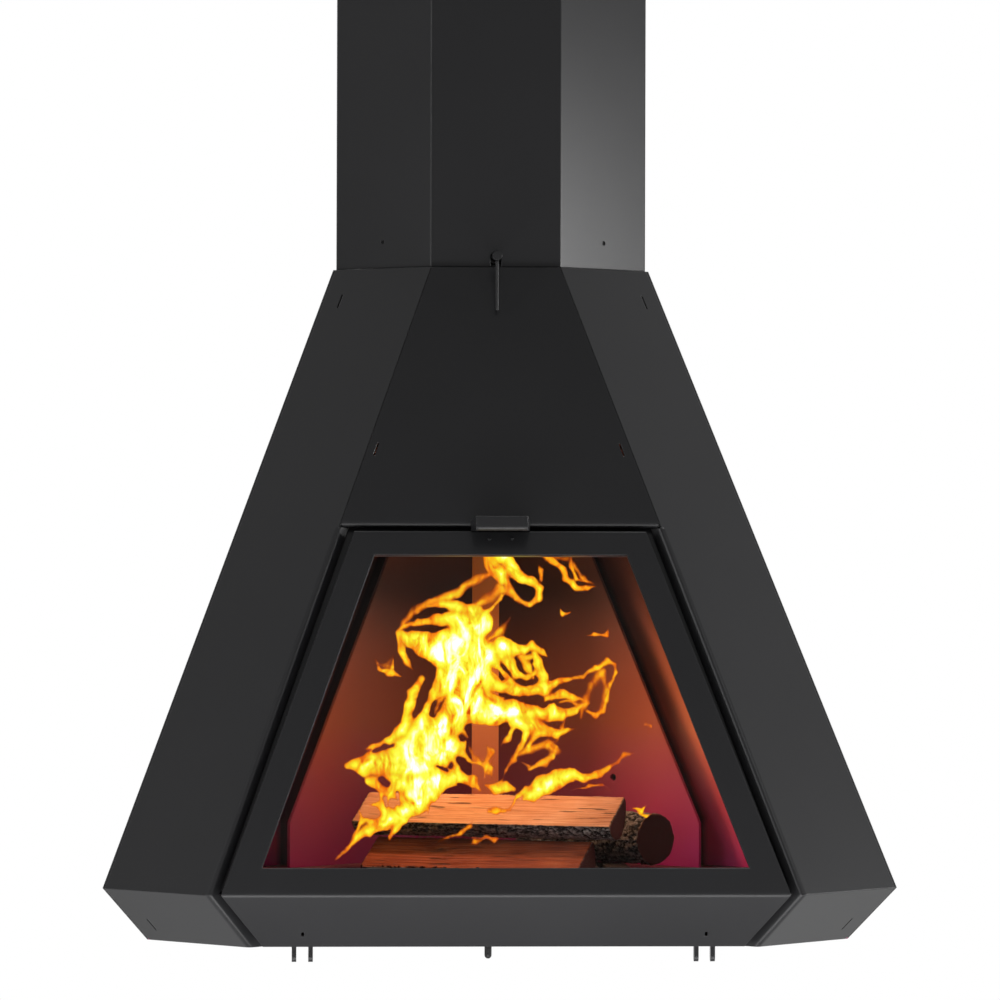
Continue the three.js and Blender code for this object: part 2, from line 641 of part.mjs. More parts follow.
function flueCollar() {
  const inner = FLUE.bore;
  const outer = FLUE.bore + FLUE.wall;
  const flangeLow = TOP.z + FIT;
  const flangeTop = flangeLow + COLLAR.sheet;
  const seatLow = PIPE_SEAT_Z - PIPE_SEAT.height;
  const body = revolve(
    [
      [inner, COLLAR_LOW],
      [outer, COLLAR_LOW],
      [outer, flangeLow],
      [inner + COLLAR.flange, flangeLow],
      [inner + COLLAR.flange, flangeTop],
      [outer, flangeTop],
      [outer, seatLow],
      [inner + PIPE_SEAT.lip, seatLow],
      [inner + PIPE_SEAT.lip, PIPE_SEAT_Z],
      [outer, PIPE_SEAT_Z],
      [outer, COLLAR_TOP],
      [inner, COLLAR_TOP],
      [inner, COLLAR_LOW],
    ],
    0,
    FLUE.y,
    ROUND_STEPS,
  );
  return body.subtract(damperBore(DAMPER.shaft + DAMPER.play));
}

const damperBore = (radius) => disc(ELEVATION, 0, DAMPER_Z, radius, -DAMPER_REACH, 0);

function fluePipe() {
  const inner = FLUE.bore + FLUE.wall + FIT;
  const outer = inner + FLUE.wall;
  const low = PIPE_SEAT_Z + FIT;
  return revolve(
    [
      [inner, low],
      [outer, low],
      [outer, PIPE_TOP],
      [inner, PIPE_TOP],
      [inner, low],
    ],
    0,
    FLUE.y,
    ROUND_STEPS,
  );
}

// Three-sided cover around the flue, with narrow flanges along the walls
function flueCasing() {
  const { front, wide } = CASING;
  const depth = 2 * wide - front;
  const inward = CASING.flange * Math.SQRT1_2;
  const path = [
    [-wide + inward, -wide + inward],
    [-wide, -wide],
    [-front, -depth],
    [front, -depth],
    [wide, -wide],
    [wide - inward, -wide + inward],
  ];
  const low = TOP.z + FIT;
  let casing = slab(PLAN, foldedSheet(path, CASING.radius, CASING.sheet), low, CASING_TOP);
  const { half, top } = CASING_NOTCH;
  const across = around(-depth, THROUGH);
  const notch = box([-half, half], across, [low - 1, top - half]);
  casing = casing.subtract(notch.add(disc(ELEVATION, 0, top - half, half, ...across)));
  for (const plane of [SIDE, WALL]) {
    casing = casing.subtract(casingScrewBore(plane, CASING_SCREW.radius + FIT));
  }
  return casing;
}

// The casing's side faces: how far out they lie, and the middle of each, measured from the wall.
// The drawing plane of the right wall also serves the left side face, which it looks out of.
const CASING_FACE = CASING.wide * Math.SQRT2;
const CASING_MIDDLE = (CASING.wide - CASING.front) * Math.SQRT1_2;

function casingScrewBore(plane, radius) {
  const along = plane === SIDE ? -CASING_MIDDLE : CASING_MIDDLE;
  return disc(plane, along, CASING_SCREW.z, radius, ...around(CASING_FACE, THROUGH), 12);
}

// Angle that stands on the body inside the casing and takes its screw
function casingBracket() {
  const face = CASING_FACE - CASING.sheet - FIT;
  const low = TOP.z + FIT;
  const path = [
    [face, low + CASING_BRACKET.rise],
    [face, low],
    [face - CASING_BRACKET.base, low],
  ];
  const half = CASING_BRACKET.width / 2;
  const outline = foldedSheet(path, CASING.radius, -CASING_BRACKET.sheet);
  const bracket = slab(WALL, outline, CASING_MIDDLE - half, CASING_MIDDLE + half);
  return bracket.subtract(casingScrewBore(SIDE, CASING_SCREW.radius + FIT));
}

function casingScrew() {
  const { z, radius, length, sunk, slot, slot_depth } = CASING_SCREW;
  const face = CASING_FACE - sunk;
  const shank = disc(SIDE, -CASING_MIDDLE, z, radius, face - length, face, 12);
  const cut = oblong(around(-CASING_MIDDLE, slot), around(z, radius + 1));
  return shank.subtract(slab(SIDE, cut, face - slot_depth, face + 1));
}

// ---------------------------------------------------------------- damper

function damperShaft() {
  const back = FLUE.y + FLUE.bore + FLUE.wall + BUSH.length + FIT;
  return disc(ELEVATION, 0, DAMPER_Z, DAMPER.shaft, -DAMPER_REACH + DAMPER.knob_length + FIT, back);
}

// Upright disc beside the shaft, held by two straps around it
function damperPlate() {
  const near = DAMPER.shaft + DAMPER.play;
  let body = disc(PROFILE, FLUE.y, DAMPER_Z, DAMPER.radius, near, near + DAMPER.sheet, 40);
  for (const side of [1, -1]) {
    const y = FLUE.y + (side * DAMPER_STRAP.apart) / 2;
    const strap = box(
      [-DAMPER_STRAP.half, near + 1],
      [y - DAMPER_STRAP.length / 2, y + DAMPER_STRAP.length / 2],
      [DAMPER_Z - DAMPER_STRAP.half, DAMPER_Z + DAMPER_STRAP.half],
    );
    body = body.add(strap);
  }
  return body.subtract(damperBore(near));
}

function damperBush(y) {
  const tube = disc(ELEVATION, 0, DAMPER_Z, BUSH.radius, y - BUSH.length, y + BUSH.length);
  const outside = flueRound(FIT, ...around(DAMPER_Z, THROUGH));
  return tube.subtract(outside).subtract(damperBore(DAMPER.shaft + DAMPER.play));
}

function damperKnob() {
  const front = -DAMPER_REACH;
  return disc(ELEVATION, 0, DAMPER_Z, DAMPER.knob, front, front + DAMPER.knob_length, 24);
}

// Half outline of a rod's rounded lower end
function roundedTip(radius, foot) {
  return [0, 30, 60, 90].map((degrees) => {
    const turn = THREE.MathUtils.degToRad(degrees);
    return [radius * Math.sin(turn), foot + radius - radius * Math.cos(turn)];
  });
}

function damperLever() {
  const { radius, foot } = DAMPER_LEVER;
  const top = DAMPER_Z - DAMPER.knob - FIT;
  const y = -DAMPER_REACH + DAMPER.knob_length / 2;
  return revolve([...roundedTip(radius, foot), [radius, top], [0, top]], 0, y, 12);
}

// ---------------------------------------------------------------- door

// Cutter for the chamfer on an upper front edge that runs across the body
function brokenEdge(front, top) {
  const corner = [
    [front - 2 * EDGE_BREAK, top - 2 * EDGE_BREAK],
    [front + 2 * EDGE_BREAK, top + EDGE_BREAK],
    [front - 2 * EDGE_BREAK, top + EDGE_BREAK],
  ];
  return slab(PROFILE, corner, -BEND.front, BEND.front);
}

function doorLeaf() {
  const path = [
    [frontOf(LEAF_TOP.z), LEAF_TOP.z],
    [frontOf(BEND.z), BEND.z],
    [frontOf(LEAF_BASE.z), LEAF_BASE.z],
  ];
  const folded = slab(PROFILE, foldedSheet(path, LEAF + 1, LEAF), -BEND.front, BEND.front);
  const outline = [
    [LEAF_TOP.half, LEAF_TOP.z],
    [LEAF_BEND_HALF, BEND.z],
    [LEAF_BASE.half, LEAF_BASE.z],
    [-LEAF_BASE.half, LEAF_BASE.z],
    [-LEAF_BEND_HALF, BEND.z],
    [-LEAF_TOP.half, LEAF_TOP.z],
  ];
  const deep = [frontOf(BEND.z) - THROUGH, frontOf(LEAF_TOP.z) + THROUGH];
  let leaf = folded.intersect(slab(ELEVATION, outline, ...deep));
  leaf = leaf.subtract(brokenEdge(frontOf(LEAF_TOP.z), LEAF_TOP.z));
  leaf = leaf.subtract(slab(FRONT, windowOutline(0), -THROUGH, THROUGH));
  for (const side of [1, -1]) {
    const { width, height, z } = BAND_HOLE;
    const hole = oblong(around(side * HINGE_X, width / 2), around(z, height / 2));
    leaf = leaf.subtract(slab(ELEVATION, hole, ...around(frontOf(z), THROUGH / 2)));
    leaf = leaf.subtract(handleScrewBore(side));
  }
  return leaf;
}

const GLASS_BACK = LEAF + FIT + GLASS_TAPE + FIT + GLASS;

function doorGlass() {
  return slab(FRONT, windowOutline(GLASS_MARGIN), -GLASS_BACK, -GLASS_BACK + GLASS);
}

function glassTape() {
  return windowFrame(1, GLASS_MARGIN - 1, LEAF + FIT, LEAF + FIT + GLASS_TAPE);
}

// Stepped frame that clamps the glass against the leaf
function glassRetainer() {
  const inner = GLASS_MARGIN - RETAINER.lap;
  const edge = GLASS_MARGIN + FIT;
  const back = GLASS_BACK + FIT + RETAINER.sheet;
  const plate = windowFrame(inner, edge + RETAINER.leg, GLASS_BACK + FIT, back);
  const leg = windowFrame(edge, edge + RETAINER.leg, LEAF + FIT, back);
  return plate.add(leg);
}

// Rope around the window, pressed thinner where the handle's flange lies under it
function doorRope() {
  const rope = windowFrame(DOOR_ROPE.inner, DOOR_ROPE.outer, LEAF + FIT, JAMB_INSET - FIT);
  const across = around(0, HANDLE.base + FIT);
  const heights = [upFront(HANDLE_SHELF - HANDLE.flange) - FIT, upFront(HANDLE_SHELF)];
  return rope.subtract(slab(FRONT, oblong(across, heights), -HANDLE_BACK - FIT, 0));
}

const handleScrewHeight = () => upFront(LEAF_TOP.z - HANDLE_SCREW.below);
const HANDLE_BACK = LEAF + FIT + HANDLE.sheet; // rear of the handle's flange, behind the leaf's face

function handleScrewBore(side) {
  const radius = HANDLE_SCREW.shank + FIT;
  return disc(FRONT, side * HANDLE_SCREW.x, handleScrewHeight(), radius, -HANDLE_BACK - 1, 1, 12);
}

// Pocket handle: a flange behind the leaf, a shelf over its top edge, a raised lip and two cheeks
function doorHandle() {
  const { sheet } = HANDLE;
  const shelf = HANDLE_SHELF;
  const foot = shelf - HANDLE.flange;
  const top = shelf + HANDLE.lip;
  const back = (z) => frontOf(z) + HANDLE_BACK * levelCut(UPPER).front;
  const lip = frontOf(shelf) - HANDLE.reach + sheet;
  const front = lip - sheet;
  const path = [
    [back(foot), foot],
    [back(shelf), shelf],
    [lip, shelf],
    [lip, top],
  ];
  const rear = frontOf(shelf) - 1;
  const cheek = [
    [rear, shelf - sheet],
    [rear, shelf + HANDLE_CHEEK_RISE],
    [front + 1, top],
    [front + 1, shelf - sheet + 1],
  ];
  const taper = (inset) => [
    [-HANDLE.base + inset, 0],
    [-HANDLE.base + inset, rear],
    [-HANDLE.front + inset, front],
    [-HANDLE.front + inset, front - THROUGH],
    [HANDLE.front - inset, front - THROUGH],
    [HANDLE.front - inset, front],
    [HANDLE.base - inset, rear],
    [HANDLE.base - inset, 0],
  ];
  const width = [-HANDLE.base, HANDLE.base];
  const heights = [foot - THROUGH, top + 1];
  const cheeks = slab(PROFILE, cheek, ...width).subtract(slab(PLAN, taper(sheet), ...heights));
  const folded = slab(PROFILE, foldedSheet(path, sheet + 1, sheet), ...width).add(cheeks);
  const body = folded.intersect(slab(PLAN, taper(0), ...heights)).subtract(brokenEdge(front, top));
  return body.subtract(handleScrewBore(1)).subtract(handleScrewBore(-1));
}

function handleScrew(side) {
  const x = side * HANDLE_SCREW.x;
  const { shank, radius, head } = HANDLE_SCREW;
  const cap = disc(FRONT, x, handleScrewHeight(), radius, FIT, FIT + head, 12);
  return cap.add(disc(FRONT, x, handleScrewHeight(), shank, -HANDLE_BACK, FIT + head / 2, 12));
}

// ---------------------------------------------------------------- hinges

const bandBack = (z) => frontOf(z) + LEAF * levelCut(LOWER).front + FIT;

// Cheek of a hinge: a gusset behind the lower band that goes round the pin and ends in a stop
function hingeCheek(x) {
  const { y, z } = HINGE_AXIS;
  const { half, rise } = CHEEK;
  const foot = CHEEK_FOOT;
  const shape = new THREE.Shape();
  shape.moveTo(foot.y - half, foot.z + half);
  shape.absarc(foot.y, foot.z + half, half, Math.PI, 2 * Math.PI, false);
  shape.lineTo(foot.y + half, z);
  shape.lineTo(y + half, z + half);
  shape.lineTo(bandBack(rise) + CHEEK.top, rise);
  shape.lineTo(bandBack(rise), rise);
  shape.lineTo(bandBack(LEAF_BASE.z) + FIT, LEAF_BASE.z);
  const cheek = slab(PROFILE, shape, ...around(x, CHEEK.sheet / 2), 6);
  return cheek.subtract(pinBore(x));
}

function pinBore(x) {
  const { y, z } = HINGE_AXIS;
  return disc(PROFILE, y, z, HINGE_PIN.radius + HINGE_PIN.play, ...around(x, THROUGH), 24);
}

// Two cheeks and the web that joins them on the band
function hingeFork() {
  const [near, far] = around(HINGE_X, CHEEK.apart / 2);
  const { foot, sheet } = CHEEK_WEB;
  const web = [
    [bandBack(CHEEK.rise), CHEEK.rise],
    [bandBack(CHEEK.rise) + sheet, CHEEK.rise],
    [bandBack(foot) + sheet, foot],
    [bandBack(foot), foot],
  ];
  return hingeCheek(near).add(hingeCheek(far)).add(slab(PROFILE, web, near, far));
}

// Plate on the apron that the pin passes through, between the two cheeks
function hingeTongue() {
  const { y, z } = HINGE_AXIS;
  const { radius, shoulder, rise, top } = TONGUE;
  const back = -APRON_FRONT - FIT;
  const shape = new THREE.Shape();
  shape.moveTo(back, BOTTOM_PLATE_Z + PLATE + FIT);
  shape.lineTo(back, rise);
  shape.lineTo(back - top, rise);
  shape.lineTo(y - radius, z + shoulder);
  shape.absarc(y, z, radius, Math.PI, 2 * Math.PI, false);
  return slab(PROFILE, shape, ...around(HINGE_X, TONGUE.width / 2), 6).subtract(pinBore(HINGE_X));
}

function hingePin() {
  const { y, z } = HINGE_AXIS;
  const { radius, end, head, head_length } = HINGE_PIN;
  const cheeks = (CHEEK.apart + CHEEK.sheet) / 2;
  const pin = disc(PROFILE, y, z, radius, ...around(HINGE_X, cheeks + end), 24);
  const seat = HINGE_X + cheeks + FIT;
  return pin.add(disc(PROFILE, y, z, head, seat, seat + head_length, 24));
}

// ---------------------------------------------------------------- air control

const SLIDE_Z = BOTTOM_PLATE_Z + PLATE + FIT;

function airSlide() {
  const half = AIR_SLIDE.width / 2;
  const y = around(AIR.y, AIR_SLIDE.depth / 2);
  const plate = box([-half, half], y, [SLIDE_Z, SLIDE_Z + AIR_SLIDE.sheet]);
  const through = around(SLIDE_Z, THROUGH);
  const bore = disc(PLAN, 0, AIR.y, AIR.rod + FIT, ...through);
  return plate.subtract(airPorts(...through)).subtract(bore);
}

function airRod() {
  const { rod, head } = AIR;
  const seat = SLIDE_Z + AIR_SLIDE.sheet + FIT;
  const top = seat + AIR.head_height;
  const outline = [...roundedTip(rod, AIR.foot), [rod, seat], [head, seat], [head, top], [0, top]];
  return revolve(outline, 0, AIR.y, 20);
}

// Rail on the bottom plate with a lip over the slide's edge
function airGuide() {
  const near = AIR_SLIDE.width / 2 + FIT;
  const far = near + AIR_GUIDE.width;
  const lip = SLIDE_Z + AIR_SLIDE.sheet + FIT;
  const top = lip + AIR_GUIDE.sheet;
  const y = [AIR.y - AIR_SLIDE.depth / 2, AIR.y + AIR_SLIDE.depth / 2 + AIR.travel];
  const rail = box([near, far], y, [SLIDE_Z, top]);
  return rail.add(box([near - AIR_GUIDE.lip, far], y, [lip, top]));
}

// ---------------------------------------------------------------- logs

// A log's outline between two angles of its bark, closed by a chord or by two splits to its heart
function logSection(radius, from, to, split) {
  const points = split ? [[0, 0]] : [];
  const last = to - from === 360 ? LOG_SIDES - 1 : LOG_SIDES;
  for (let i = 0; i <= last; i++) {
    const turn = THREE.MathUtils.degToRad(from + ((to - from) * i) / LOG_SIDES);
    const bark = radius * (1 - BARK_WAVE * (1 + Math.cos(5 * turn + radius)));
    points.push([bark * Math.cos(turn), bark * Math.sin(turn)]);
  }
  return points;
}

// A log of a given outline, turned about the upright through a point of its axis
function logAt(section, from, to, turn, at) {
  const spin = THREE.MathUtils.degToRad(turn);
  const plane = new THREE.Matrix4().makeRotationZ(spin).setPosition(...at).multiply(PROFILE);
  return slab(plane, section, from, to);
}

const FRONT_SECTION = logSection(FRONT_LOG.radius, 0, FRONT_LOG.angle, true);
const TOP_SECTION = logSection(TOP_LOG.radius, TOP_LOG.slope - 180, TOP_LOG.slope, false);
const ROUND_SECTION = logSection(ROUND_LOG.radius, 0, 360, false);
const FRONT_HEART = -FIRE_CENTRE - FRONT_LOG.forward;
const lowestOf = (section) => Math.min(...section.map(([, z]) => z));

// Split log that lies on one of its flat faces
function frontLog() {
  const half = FRONT_LOG.length / 2;
  const at = [FRONT_LOG.middle, FRONT_HEART, FOOT_OF_FIRE];
  return logAt(FRONT_SECTION, -half, half, LOG_TURN, at);
}

// Half log whose bark rests on the upper edge of the front log
function topLog() {
  const half = TOP_LOG.length / 2;
  const spin = THREE.MathUtils.degToRad(LOG_TURN);
  const [edgeY, edgeZ] = FRONT_SECTION[FRONT_SECTION.length - 1];
  const x = FRONT_LOG.middle + TOP_LOG.shift * Math.cos(spin) - edgeY * Math.sin(spin);
  const y = FRONT_HEART + TOP_LOG.shift * Math.sin(spin) + edgeY * Math.cos(spin);
  const z = FOOT_OF_FIRE + edgeZ + FIT - lowestOf(TOP_SECTION);
  return logAt(TOP_SECTION, -half, half, LOG_TURN, [x, y, z]);
}

// Whole log beside them, with its sawn end to the front
function roundLog() {
  const { length, aside, forward, turn } = ROUND_LOG;
  const z = FOOT_OF_FIRE - lowestOf(ROUND_SECTION);
  const end = [FIRE_CENTRE - aside, -FIRE_CENTRE - forward, z];
  return logAt(ROUND_SECTION, -length, 0, -turn, end);
}

// ---------------------------------------------------------------- assembly

add("upper_front_panel", upperFrontPanel(), SHELL);
addPair("corner_panel", cornerPanel(), SHELL);
addPair("back_panel", backPanel(), SHELL);
add("rear_corner_angle", rearAngle(), SHELL);
add("top_plate", topPlate(), SHELL);
add("bottom_plate", bottomPlate(), SHELL);
add("front_apron", frontApron(), SHELL);
add("door_jamb", doorJamb(), SHELL);
add("firebox_floor", fireboxFloor(), CHAMBER);
add("fire_grate", grate(), CAST);
add("ash_pan", ashPan(), STEEL);
addPair("liner", liner(), CHAMBER);
add("rear_liner_strip", rearStrip(), CHAMBER);
SPACER_SPOTS.forEach(([x, z], i) => {
  addPair("liner_spacer_" + (i + 1), linerSpacer(x, z), STEEL);
});
add("smoke_baffle", smokeBaffle(), CHAMBER);
addPair("baffle_support", baffleSupport(), STEEL);

add("flue_collar", flueCollar(), SHELL);
add("flue_pipe", fluePipe(), STEEL);
add("flue_casing", flueCasing(), SHELL);
addPair("casing_bracket", casingBracket(), STEEL);
addPair("casing_screw", casingScrew(), SHELL);

add("damper_shaft", damperShaft(), STEEL);
add("damper_plate", damperPlate(), SHELL);
add("damper_knob", damperKnob(), SHELL);
add("damper_lever", damperLever(), SHELL);
add("front_damper_bush", damperBush(FLUE.y - FLUE.bore - FLUE.wall), STEEL);
add("rear_damper_bush", damperBush(FLUE.y + FLUE.bore + FLUE.wall), STEEL);

add("door_leaf", doorLeaf(), SHELL);
add("door_glass", doorGlass(), CLEAR);
add("glass_tape", glassTape(), ROPE);
add("glass_retainer", glassRetainer(), STEEL);
add("door_rope", doorRope(), ROPE);
add("door_handle", doorHandle(), SHELL);
add("right_handle_screw", handleScrew(1), SHELL);
add("left_handle_screw", handleScrew(-1), SHELL);
addPair("hinge_fork", hingeFork(), SHELL);
addPair("hinge_tongue", hingeTongue(), SHELL);
addPair("hinge_pin", hingePin(), STEEL);

add("air_slide", airSlide(), STEEL);
add("air_rod", airRod(), SHELL);
addPair("air_guide", airGuide(), STEEL);

add("front_log", frontLog(), BARK);
add("round_log", roundLog(), BARK);
add("top_log", topLog(), BARK);

export default fireplace;
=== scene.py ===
# A black steel corner fireplace with a fire in it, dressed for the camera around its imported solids.
import math

import bpy
import numpy as np
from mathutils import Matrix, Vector, noise


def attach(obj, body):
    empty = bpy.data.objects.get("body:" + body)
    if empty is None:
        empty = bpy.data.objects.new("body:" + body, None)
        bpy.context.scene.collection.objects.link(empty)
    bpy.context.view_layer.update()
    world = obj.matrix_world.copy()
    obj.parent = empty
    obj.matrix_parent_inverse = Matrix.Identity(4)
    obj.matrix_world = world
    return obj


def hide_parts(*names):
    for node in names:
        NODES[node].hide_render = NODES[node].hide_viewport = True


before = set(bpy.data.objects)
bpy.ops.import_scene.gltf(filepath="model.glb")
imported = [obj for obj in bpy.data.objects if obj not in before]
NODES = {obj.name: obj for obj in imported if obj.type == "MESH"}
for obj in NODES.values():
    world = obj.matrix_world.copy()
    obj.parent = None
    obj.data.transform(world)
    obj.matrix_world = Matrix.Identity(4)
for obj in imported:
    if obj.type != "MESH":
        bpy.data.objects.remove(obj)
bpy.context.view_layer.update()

# ---------------------------------------------------------------- the view and the light
# A studio shot on pure white, from a little left of straight ahead and through a long lens. Soft panels stand
# right, left, below and overhead, three weak lamps are high in front, and a small warm one is the fire's.

EYE = (-0.334, -6.636, 0.5)
HEADING = math.radians(-3.02)
ROLL = math.radians(-0.17)
camera_data = bpy.data.cameras.new("view")
camera_data.sensor_width = 36
camera_data.lens = 197.1
camera_data.shift_x = 0.0044
camera_data.shift_y = 0.0007
camera_data.clip_end = 100
camera = bpy.data.objects.new("view", camera_data)
camera.location = EYE
camera.rotation_euler = (math.radians(90), ROLL, HEADING)
bpy.context.scene.collection.objects.link(camera)
bpy.context.scene.camera = camera
bpy.context.scene.view_settings.view_transform = "Standard"


def linear(hex_colour):
    """An sRGB hex value as a linear colour."""
    channels = [int(hex_colour[i : i + 2], 16) / 255 for i in (1, 3, 5)]
    return [c / 12.92 if c <= 0.04045 else ((c + 0.055) / 1.055) ** 2.4 for c in channels] + [1]


def add(tree, kind, settings=None, wires=None):
    """Adds a node to a material or world: settings are its properties and sockets, wires feed its sockets."""
    node = tree.nodes.new("ShaderNode" + kind)
    for name, value in (settings or {}).items():
        if name == "stops":
            while len(node.color_ramp.elements) < len(value):
                node.color_ramp.elements.new(1)
            for element, (place, colour) in zip(node.color_ramp.elements, value):
                element.position = place
                element.color = linear(colour)
        elif isinstance(name, int) or name in node.inputs:
            node.inputs[name].default_value = value
        else:
            setattr(node, name, value)
    for name, source in (wires or {}).items():
        tree.links.new(source, node.inputs[name])
    return node


WORLD_LEVEL = 0.1  # of the light from all around; the camera and mirrors see pure white
world = bpy.data.worlds.new("studio")
world.use_nodes = True
tree = world.node_tree
tree.nodes.clear()
ray = add(tree, "LightPath").outputs
either = {"operation": "ADD", "use_clamp": True}
seen = add(tree, "Math", either, {0: ray["Is Camera Ray"], 1: ray["Is Glossy Ray"]}).outputs[0]
seen = add(tree, "Math", either, {0: seen, 1: ray["Is Transmission Ray"]}).outputs[0]
lit = add(tree, "Background", {"Color": linear("#f6f8fb"), "Strength": WORLD_LEVEL})
white = add(tree, "Background", {"Color": linear("#ffffff"), "Strength": 1})
both = add(tree, "MixShader", {}, {0: seen, 1: lit.outputs[0], 2: white.outputs[0]})
add(tree, "OutputWorld", {}, {"Surface": both.outputs[0]})
bpy.context.scene.world = world

# Lamps: where each one stands, what it faces, its width and height, and its power
LAMPS = {
    "right_panel": ((2.6, -0.6, 0.55), (0, -0.35, 0.75), (0.9, 1.0), 94),
    "left_panel": ((-2.8, -1.6, 0.9), (0, -0.4, 0.6), (0.8, 2.2), 50),
    "low_panel": ((0, -0.85, -0.42), (0, -0.6, 0.6), (2.2, 0.8), 66),
    "overhead": ((0, 0.3, 3.2), (0, 0, 0.5), (2.4, 1.2), 110),
    "high_right": ((1.65, -2.2, 2.2), (0, -0.45, 0.4), (0.3, 0.5), 9),
    "high_left": ((-1.65, -2.2, 2.2), (0, -0.45, 0.4), (0.3, 0.5), 9),
    "front_strip": ((0, -3.6, 1.2), (0, -0.4, 0.5), (2.4, 0.4), 2),
    "fire_glow": ((-0.03, -0.34, 0.43), (-0.02, -0.4, 0.1), (0.12, 0.06), 1.1),
}
FIRE_TINT = "#ffc49a"
for name, (place, target, (width, height), power) in LAMPS.items():
    lamp = bpy.data.lights.new(name, "AREA")
    lamp.color = linear(FIRE_TINT if name == "fire_glow" else "#ffffff")[:3]
    lamp.shape = "RECTANGLE"
    lamp.size = width
    lamp.size_y = height
    lamp.energy = power
    holder = bpy.data.objects.new(name, lamp)
    holder.location = place
    holder.rotation_euler = (Vector(target) - Vector(place)).to_track_quat("-Z", "Y").to_euler()
    bpy.context.scene.collection.objects.link(holder)

# ---------------------------------------------------------------- floor
# A plain pale floor under the hanging body, painted evenly matt. It looks nearly white to the camera and in
# the paint's reflections, and takes a soft shadow.

FLOOR_DROP = 0.45
FLOOR_RADIUS = 3
FLOOR_WHITENESS = 0.6  # share of pure white that the camera and mirrors see in it
bpy.ops.object.select_all(action="DESELECT")
bpy.ops.mesh.primitive_circle_add(
    vertices=96, radius=FLOOR_RADIUS, fill_type="NGON", location=(0, -0.3, -FLOOR_DROP)
)
floor = bpy.context.object
floor.name = "floor"
bpy.ops.object.transform_apply(location=True)
pale_floor = bpy.data.materials.new("pale_floor")
pale_floor.use_nodes = True
tree = pale_floor.node_tree
tree.nodes.clear()
ray = add(tree, "LightPath").outputs
paint = add(tree, "BsdfDiffuse", {"Color": linear("#e8e8e6")})
glow = add(tree, "Emission", {"Color": linear("#ffffff"), "Strength": 1})
seen = add(tree, "Math", either, {0: ray["Is Camera Ray"], 1: ray["Is Glossy Ray"]}).outputs[0]
share = add(tree, "Math", {"operation": "MULTIPLY", 1: FLOOR_WHITENESS}, {0: seen})
both = add(tree, "MixShader", {}, {0: share.outputs[0], 1: paint.outputs[0], 2: glow.outputs[0]})
add(tree, "OutputMaterial", {}, {"Surface": both.outputs[0]})
floor.data.materials.append(pale_floor)

# ---------------------------------------------------------------- painted sheet steel
# Panels, door, casing, handle and hinges are folded from sheet steel and sprayed with matt black stove
# paint, baked on. The paint dries with a fine grain and a slightly uneven gloss.

PAINTED = """upper_front_panel right_corner_panel left_corner_panel top_plate bottom_plate front_apron
door_jamb door_leaf door_handle right_handle_screw left_handle_screw right_hinge_fork left_hinge_fork
right_hinge_tongue left_hinge_tongue flue_collar flue_casing right_casing_screw left_casing_screw
front_damper_bush damper_plate damper_knob damper_lever air_rod""".split()


def new_material(name):
    """An empty node material: the material, its nodes, its Principled shader and its Object coordinates."""
    material = bpy.data.materials.new(name)
    material.use_nodes = True
    tree = material.node_tree
    tree.nodes.clear()
    surface = add(tree, "BsdfPrincipled")
    add(tree, "OutputMaterial", {}, {"Surface": surface.outputs[0]})
    place = add(tree, "TexCoord").outputs["Object"]
    return material, tree, surface, place


def finish_with(material, names):
    """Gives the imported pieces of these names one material."""
    for name in names:
        NODES[name].data.materials.clear()
        NODES[name].data.materials.append(material)


def repeats(millimetres):
    """How often a pattern of that size, in mm, comes in a metre, which is a texture's scale."""
    return 1000 / millimetres


GRAIN = 0.909  # real paint grain is a third of that, too fine to show here
MOTTLE = 143
FOLD_RADIUS = 0.002  # sheet folds to about its own thickness, and its cut edges are deburred


def painted(tree, surface, place):
    """Wires the paint's colour, gloss and grain into the shader and returns the colour."""
    mottle = add(tree, "TexNoise", {"Scale": repeats(MOTTLE), "Detail": 2}, {"Vector": place})
    mottle = mottle.outputs["Fac"]
    grain = add(tree, "TexNoise", {"Scale": repeats(GRAIN), "Detail": 2}, {"Vector": place})
    tone = add(tree, "ValToRGB", {"stops": [(0, "#131314"), (1, "#161617")]}, {"Fac": mottle})
    gloss = add(tree, "MapRange", {"To Min": 0.27, "To Max": 0.29}, {"Value": mottle})
    folds = add(tree, "Bevel", {"Radius": FOLD_RADIUS, "samples": 4})
    relief = {"Strength": 0.12, "Distance": 0.0002}
    bump = add(tree, "Bump", relief, {"Height": grain.outputs["Fac"], "Normal": folds.outputs[0]})
    tree.links.new(tone.outputs[0], surface.inputs["Base Color"])
    tree.links.new(gloss.outputs[0], surface.inputs["Roughness"])
    tree.links.new(bump.outputs[0], surface.inputs["Normal"])
    surface.inputs["Specular IOR Level"].default_value = 0.12
    return tone.outputs[0]


# to the eye: deep charcoal with a faint sheen that spreads wide, and a thin light line on each fold
stove_paint, tree, surface, place = new_material("matt_black_stove_paint")
painted(tree, surface, place)
finish_with(stove_paint, PAINTED)

# ---------------------------------------------------------------- fire chamber
# Liners, floor and baffle are plain steel plate, and the liners stand on spacers off the back panels. Heat
# has tinted them, and the back panels' inner faces, from crimson near the embers to dark brown at the top,
# and the fire's glow is painted into the colours of the liners, baffle, strip and inner faces.

CHAMBER = ["right_liner", "left_liner", "smoke_baffle"]
LINED = ["right_back_panel", "left_back_panel", "rear_corner_angle"]
LOW_HEAT, HIGH_HEAT = 0.07, 0.6  # heights of the chamber's floor and of the baffle
SHADED_HALF = 0.25  # of the chamber, over which painted shade darkens the plates, most of all at their rear
HEAT_PATCH = 167  # patches where the plate took the heat unevenly
MILL_SCALE = 3.85  # flakes of scale that rolling leaves


